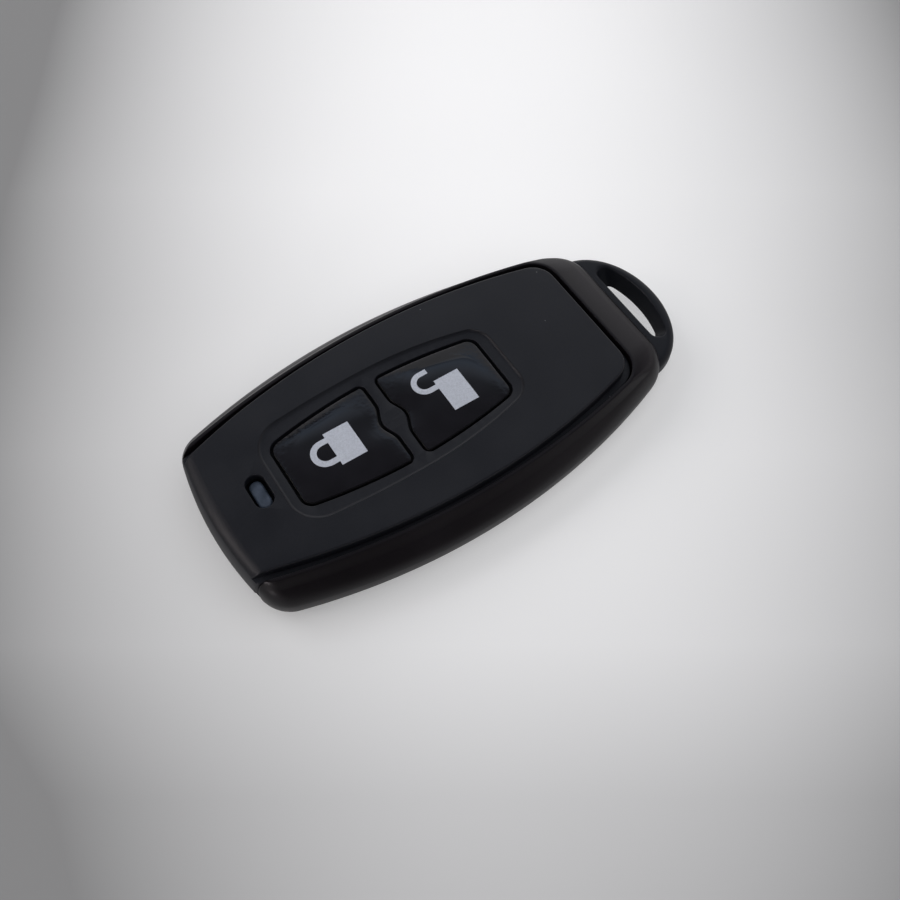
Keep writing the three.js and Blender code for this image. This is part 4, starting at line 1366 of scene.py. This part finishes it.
@dataclass(frozen=True)
class Epoxy:
    """Clear epoxy over black: high gloss, with slight waves near its poured edge."""

    name: str = "epoxy_over_black"
    colour: Colour = (0.006, 0.0058, 0.0072)
    calm: float = 9.42
    ragged: float = 9.25

    def material(self) -> bpy.types.Material:
        """Builds the node material."""
        material, graph = new_material(self.name)
        drift = graph.noise(4.0, 1.0)
        colour = graph.ramp(drift, [(0.3, self.colour), (0.7, tuple(c * 1.5 for c in self.colour))])
        edge = graph.remap(graph.height(graph.place()), self.calm * MM, self.ragged * MM)
        ripples = graph.math("MULTIPLY", graph.noise(0.7, 3.0, 0.6), edge)
        waves = graph.bump(graph.noise(3.0, 1.0), 0.002, 0.1)
        graph.surface(Base_Color=colour, Roughness=graph.spread(drift, 0.02, 0.045), IOR=1.5,
                      Normal=graph.bump(ripples, 0.12, 0.5, waves))
        return material


@dataclass(frozen=True)
class Print:
    """Silver-grey print under the clear epoxy, a little speckled."""

    name: str = "sign_print"

    def material(self) -> bpy.types.Material:
        """Builds the node material."""
        material, graph = new_material(self.name)
        colour = graph.ramp(graph.noise(0.22, 3.0, 0.7), [(0.3, (0.42, 0.445, 0.5)), (0.62, (0.54, 0.57, 0.635))])
        graph.surface(Base_Color=colour, Roughness=0.4, Coat_Weight=0.9, Coat_Roughness=0.03, Coat_IOR=1.5,
                      Normal=graph.bump(graph.noise(0.3, 2.0), 0.002, 0.15))
        return material


@dataclass(frozen=True)
class LightGuide:
    """Frosted slate-blue plastic with a paler core; its sides down in the slot carry painted shade, near-black and
    without gloss.
    """

    name: str = "frosted_light_guide"
    shade_below: float = 8.25
    lit_above: float = 8.42
    painted_shade: Colour = (0.001, 0.001, 0.0012)

    def material(self) -> bpy.types.Material:
        """Builds the node material."""
        material, graph = new_material(self.name)
        colour = graph.ramp(graph.noise(1.2, 2.0), [(0.35, (0.03, 0.04, 0.058)), (0.65, (0.058, 0.074, 0.105))])
        # Painted shade: below the lens's top the colour goes near-black and the gloss is cut, as the slot shades its
        # sides.
        lit = graph.remap(graph.height(graph.place()), self.shade_below * MM, self.lit_above * MM, to_low=0.02)
        colour = graph.mix(lit, (*self.painted_shade, 1), colour)
        graph.surface(Base_Color=colour, Roughness=graph.spread(graph.noise(0.5), 0.32, 0.44), IOR=1.5,
                      Specular_IOR_Level=graph.math("MULTIPLY", lit, 0.5),
                      Normal=graph.bump(graph.noise(0.12, 2.0), 0.003, 0.3))
        return material


@dataclass(frozen=True)
class Metal:
    """Plated or bare metal with a rolled grain and light tarnish."""

    name: str
    bright: Colour
    dull: Colour
    roughness: tuple[float, float] = (0.2, 0.38)
    grain: tuple[float, float, float] = (0.05, 1.6, 0.3)

    def material(self) -> bpy.types.Material:
        """Builds the node material."""
        material, graph = new_material(self.name)
        scale = tuple(1 / (g * MM) for g in self.grain)
        drawn = graph.node("Mapping", {"Vector": graph.place(), "Scale": scale}).outputs[0]
        lines = graph.node("TexNoise", {"Vector": drawn, "Scale": 1.0, "Detail": 3.0}).outputs["Fac"]
        colour = graph.ramp(graph.noise(2.5, 4.0), [(0.35, self.dull), (0.6, self.bright)])
        graph.surface(Base_Color=colour, Metallic=1.0, Roughness=graph.spread(lines, *self.roughness),
                      Normal=graph.bump(lines, 0.002, 0.3))
        return material


@dataclass(frozen=True)
class Laminate:
    """Green solder mask over copper tracks on glass laminate."""

    name: str = "board_mask"
    patch: float = 3.6
    tracks: float = 9.0

    def material(self) -> bpy.types.Material:
        """Builds the node material."""
        material, graph = new_material(self.name)
        cells = graph.node("TexVoronoi", {"Vector": graph.place(), "Scale": 1 / (self.patch * MM)},
                           distance="MANHATTAN")
        tracks = graph.math("PINGPONG", graph.math("MULTIPLY", cells.outputs["Distance"], self.tracks), 1.0)
        colour = graph.ramp(tracks, [(0.3, (0.006, 0.062, 0.026)), (0.42, (0.014, 0.115, 0.048))])
        graph.surface(Base_Color=colour, Roughness=graph.spread(graph.noise(0.8), 0.25, 0.4), IOR=1.5,
                      Normal=graph.bump(tracks, 0.02, 0.4))
        return material


def grey(shade: float) -> Colour:
    """A colour without a tint."""
    return shade, shade, shade


@dataclass(frozen=True)
class SoftBox:
    """A square lamp that faces the object.

    Attributes:
        name: The lamp's name.
        way: Direction in which it stands from the object.
        distance: How far off, in metres.
        size: Its side, in metres.
        power: Its power in watts.
        colour: Its colour.
        glossy: Whether gloss mirrors it.
    """

    name: str
    way: tuple[float, float, float]
    distance: float
    size: float
    power: float
    colour: Colour = grey(1.0)
    glossy: bool = False

    def build(self) -> None:
        """Hangs the lamp."""
        data = bpy.data.lights.new(self.name, "AREA")
        data.shape = "SQUARE"
        data.size = self.size
        data.energy = self.power
        data.color = self.colour
        lamp = linked(self.name, data)
        direction = Vector(self.way).normalized()
        lamp.location = direction * self.distance
        lamp.rotation_euler = direction.to_track_quat("Z", "Y").to_euler()
        lamp.visible_glossy = self.glossy


@dataclass(frozen=True)
class Studio:
    """The pale floor, the soft light, what the gloss reflects and the camera.

    The floor's colour carries painted light: a pool, brightest beyond the object, that darkens towards the camera
    and to the sides, by how far a place lies to the right and beyond the object, as the camera sees it.
    """

    lens: float = 40.0
    sensor: float = 36.0
    eye: tuple[float, float, float] = (-40.13, -62.02, 123.87)
    target: tuple[float, float, float] = (-2.13, -3.84, 0.0)
    floor_reach: float = 3.0
    rightward: tuple[float, float, float] = (0.838, -0.545, 0.0)
    beyond: tuple[float, float, float] = (0.545, 0.838, 0.0)
    # Painted light on the floor: its shade at each distance beyond the object.
    painted_light_shades: tuple[tuple[float, float], ...] = (
        (-90, 0.33), (-52, 0.49), (-33, 0.66), (-5, 0.75), (20, 0.77), (45, 0.82))
    brightest: float = 8.0
    sideways_fall: float = 94.0
    least_shade: float = 0.2
    cloud_size: float = 60.0
    cloud_share: float = 0.01
    own_light: float = 0.36
    bright_side: tuple[tuple[float, Colour], ...] = (
        (0.0, grey(0.5)), (0.5, grey(0.3)), (0.6, (0.6, 0.57, 0.6)), (0.7, (0.58, 0.55, 0.6)),
        (0.755, (0.12, 0.12, 0.13)), (0.87, (0.03, 0.03, 0.035)), (0.882, (0.46, 0.58, 0.76)),
        (0.896, (0.4, 0.46, 0.56)), (0.912, (0.16, 0.18, 0.21)), (0.94, (0.1, 0.1, 0.12)), (1.0, (0.06, 0.06, 0.07)))
    dim_side: tuple[tuple[float, Colour], ...] = (
        (0.0, grey(0.4)), (0.5, (0.12, 0.11, 0.11)), (0.6, grey(0.03)), (0.8, (0.03, 0.03, 0.035)),
        (1.0, (0.05, 0.05, 0.06)))
    bright_way: tuple[float, float, float] = (0.78, 0.62, 0.0)
    bright_edge: tuple[float, float] = (-0.5, 0.45)
    lamps: tuple[SoftBox, ...] = (
        SoftBox("key", (-0.4, 0.62, 0.72), 0.7, 0.42, 1.2),
        SoftBox("fill", (0.1, -0.4, 0.9), 1.0, 1.4, 6.4),
        SoftBox("back", (0.56, 0.76, 0.36), 0.7, 0.75, 0.85, (0.97, 0.98, 1.0), glossy=True),
        SoftBox("tip", (-0.82, -0.56, 0.14), 0.6, 0.07, 0.45, (1.0, 0.92, 0.95), glossy=True),
        SoftBox("left", (-0.785, 0.321, 0.5), 0.7, 0.22, 0.6, (1.0, 0.91, 0.9), glossy=True))

    def world(self) -> None:
        """Lights all round: pale at the horizon, dim overhead, with the edge of a soft box behind."""
        world = bpy.data.worlds.new("studio")
        bpy.context.scene.world = world
        world.use_nodes = True
        graph = Graph(world.node_tree)
        way = graph.node("TexCoord").outputs["Generated"]
        height = graph.remap(graph.height(way), -1.0, 1.0)
        share = graph.remap(graph.dot(way, self.bright_way), *self.bright_edge)
        colour = graph.mix(share, graph.ramp(height, self.dim_side), graph.ramp(height, self.bright_side))
        back = graph.node("Background", {"Color": colour, "Strength": 1.0})
        graph.node("OutputWorld", {"Surface": back.outputs[0]})

    def floor(self) -> None:
        """Lays the pale floor, with its pool of painted light."""
        bm = bmesh.new()
        bmesh.ops.create_grid(bm, x_segments=1, y_segments=1, size=self.floor_reach)
        floor = linked("floor", mesh_of(bm, "floor"))
        material, graph = new_material("floor_paper")
        # Painted light: the floor's colour, which also sets its glow for camera rays, falls from a bright pool
        # beyond the object towards the camera and to the sides.
        low, high = self.painted_light_shades[0][0] * MM, self.painted_light_shades[-1][0] * MM
        stops = [((place * MM - low) / (high - low), grey(shade)) for place, shade in self.painted_light_shades]
        shade = graph.ramp(graph.remap(graph.dot(graph.place(), self.beyond), low, high), stops)
        aside = graph.math("SUBTRACT", graph.dot(graph.place(), self.rightward), self.brightest * MM)
        fall = graph.math("MULTIPLY", graph.math("MULTIPLY", aside, aside), self.sideways_fall)
        clouds = graph.spread(graph.noise(self.cloud_size, 1.0), -self.cloud_share, self.cloud_share)
        shade = graph.math("ADD", graph.math("SUBTRACT", shade, fall), clouds)
        shade = graph.math("MAXIMUM", shade, self.least_shade)
        rays = graph.node("LightPath").outputs
        seen = graph.math("ADD", rays["Is Camera Ray"], rays["Is Transmission Ray"])
        graph.surface(Base_Color=shade, Roughness=0.7, Specular_IOR_Level=0.2, Emission_Color=shade,
                      Emission_Strength=graph.math("MULTIPLY", seen, self.own_light))
        floor.data.materials.append(material)
        floor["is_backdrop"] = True

    def camera(self) -> None:
        """Sets the camera where the photograph was taken from."""
        data = bpy.data.cameras.new("camera")
        data.lens = self.lens
        data.sensor_width = self.sensor
        data.clip_start = 0.01
        camera = linked("camera", data)
        eye, target = Vector(self.eye) * MM, Vector(self.target) * MM
        camera.location = eye
        camera.rotation_euler = (eye - target).to_track_quat("Z", "Y").to_euler()
        bpy.context.scene.camera = camera

    def build(self) -> None:
        """Builds the whole studio."""
        bpy.context.scene.view_settings.view_transform = "Standard"
        self.world()
        self.floor()
        for lamp in self.lamps:
            lamp.build()
        self.camera()


@dataclass
class Remote:
    """The whole remote."""

    plan: Plan
    panel: Moulding = Moulding("panel_plastic", (0.0056, 0.0062, 0.0088), (0.0084, 0.0092, 0.0122), (0.42, 0.5),
                               0.16, 0.011, 0.8)
    frame: Moulding = Moulding("frame_plastic", (0.0054, 0.0042, 0.0052), (0.0068, 0.0054, 0.0068), (0.3, 0.36),
                               0.22, 0.003, sheen=0.36)
    back: Moulding = Moulding("back_plastic", (0.0085, 0.0095, 0.0125), (0.011, 0.0122, 0.0155), (0.36, 0.46),
                              0.2, 0.004, sheen=0.25)
    cap: Moulding = Moulding("cap_plastic", (0.0022, 0.0022, 0.0026), (0.003, 0.003, 0.0035), (0.55, 0.65),
                             0.2, 0.003)

    def build_case(self) -> None:
        """Builds the front cover, the side frame and the back cover with its loop."""
        windows = Windows(self.plan)
        cover = FrontCover(self.plan)
        back = BackCover(self.plan)
        front = object_of(cover.mesh(windows), "front_panel")
        front = combined(front, Notch(self.plan).wedge(), Cut.TAKE)
        finish(front, "case", self.panel.material(), ("front_cover",))
        side = object_of(SideFrame(self.plan).mesh(), "frame")
        side = combined(side, back.loop(clearance=self.plan.seat, slotted=False), Cut.TAKE)
        side = combined(side, Notch(self.plan).wedge(), Cut.TAKE)
        finish(side, "case", self.frame.material(), ("side_frame",))
        tray = combined(back.tray(), back.loop(), Cut.JOIN)
        finish(tray, "case", self.back.material(), ("back_cover",))
        lens = Lens(cover).lens()
        finish(lens, "case", LightGuide().material(), ("led_lens",))

    def build_buttons(self) -> None:
        """Builds both buttons with their labels and signs."""
        windows = Windows(self.plan)
        cap_finish, gloss, ink = self.cap.material(), Epoxy().material(), Print().material()
        for side in Side:
            button = Button(self.plan, windows, side)
            body = f"{side.label}_button"
            finish(button.cap(), body, cap_finish, (body,))
            finish(button.label(), body, gloss, (f"{side.label}_label",))
            finish(Padlock.on(button).sign(), body, ink)

    def dress_inside(self, nodes: dict[str, bpy.types.Object]) -> None:
        """Gives every CAD node that stays its finish."""
        black = Moulding("inside_black", (0.012, 0.012, 0.013), (0.02, 0.02, 0.022), (0.4, 0.55), 0.15, 0.004)
        ceramic = Moulding("ceramic", (0.3, 0.22, 0.12), (0.4, 0.3, 0.17), (0.4, 0.5), 0.1, 0.003)
        package = Moulding("led_package", (0.72, 0.7, 0.6), (0.8, 0.78, 0.7), (0.25, 0.35), 0.3, 0.002)
        plate = Metal("nickel_plate", (0.62, 0.62, 0.6), (0.45, 0.45, 0.43))
        zinc = Metal("zinc_plate", (0.5, 0.51, 0.53), (0.36, 0.37, 0.39), (0.3, 0.45))
        copper = Metal("bare_copper", (0.72, 0.36, 0.2), (0.5, 0.22, 0.11), (0.25, 0.4))
        finishes = {
            Laminate().material(): ["circuit_board"],
            black.material(): ["lock_switch_base", "lock_switch_plunger", "unlock_switch_base",
                               "unlock_switch_plunger", "controller_chip", "output_transistor",
                               "led_resistor", "pull_up_resistor"],
            ceramic.material(): ["supply_capacitor", "filter_capacitor"],
            package.material(): ["status_led"],
            plate.material(): ["lock_switch_cover", "unlock_switch_cover", "clock_crystal", "saw_resonator",
                               "coin_cell", "positive_contact", "negative_contact"],
            zinc.material(): ["board_screw_1", "board_screw_2"],
            copper.material(): ["loop_antenna"],
        }
        for material, names in finishes.items():
            for name in names:
                nodes[name].data.materials.clear()
                nodes[name].data.materials.append(material)
        log.info("%d inner nodes dressed", sum(len(names) for names in finishes.values()))


def corners(box: tuple[Vector, Vector]) -> list[list[float]]:
    """A box as plain lists of numbers."""
    return [list(corner) for corner in box]


def main() -> None:
    """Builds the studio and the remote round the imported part."""
    logging.basicConfig(level=logging.INFO, format="%(name)s: %(message)s")
    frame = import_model()
    cad_box = corners(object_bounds())
    Studio().build()
    remote = Remote(Plan.from_frame())
    remote.build_case()
    remote.build_buttons()
    remote.dress_inside(frame["nodes"])
    {"cad": cad_box, "visual": corners(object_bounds())}


if __name__ == "__main__":
    main()
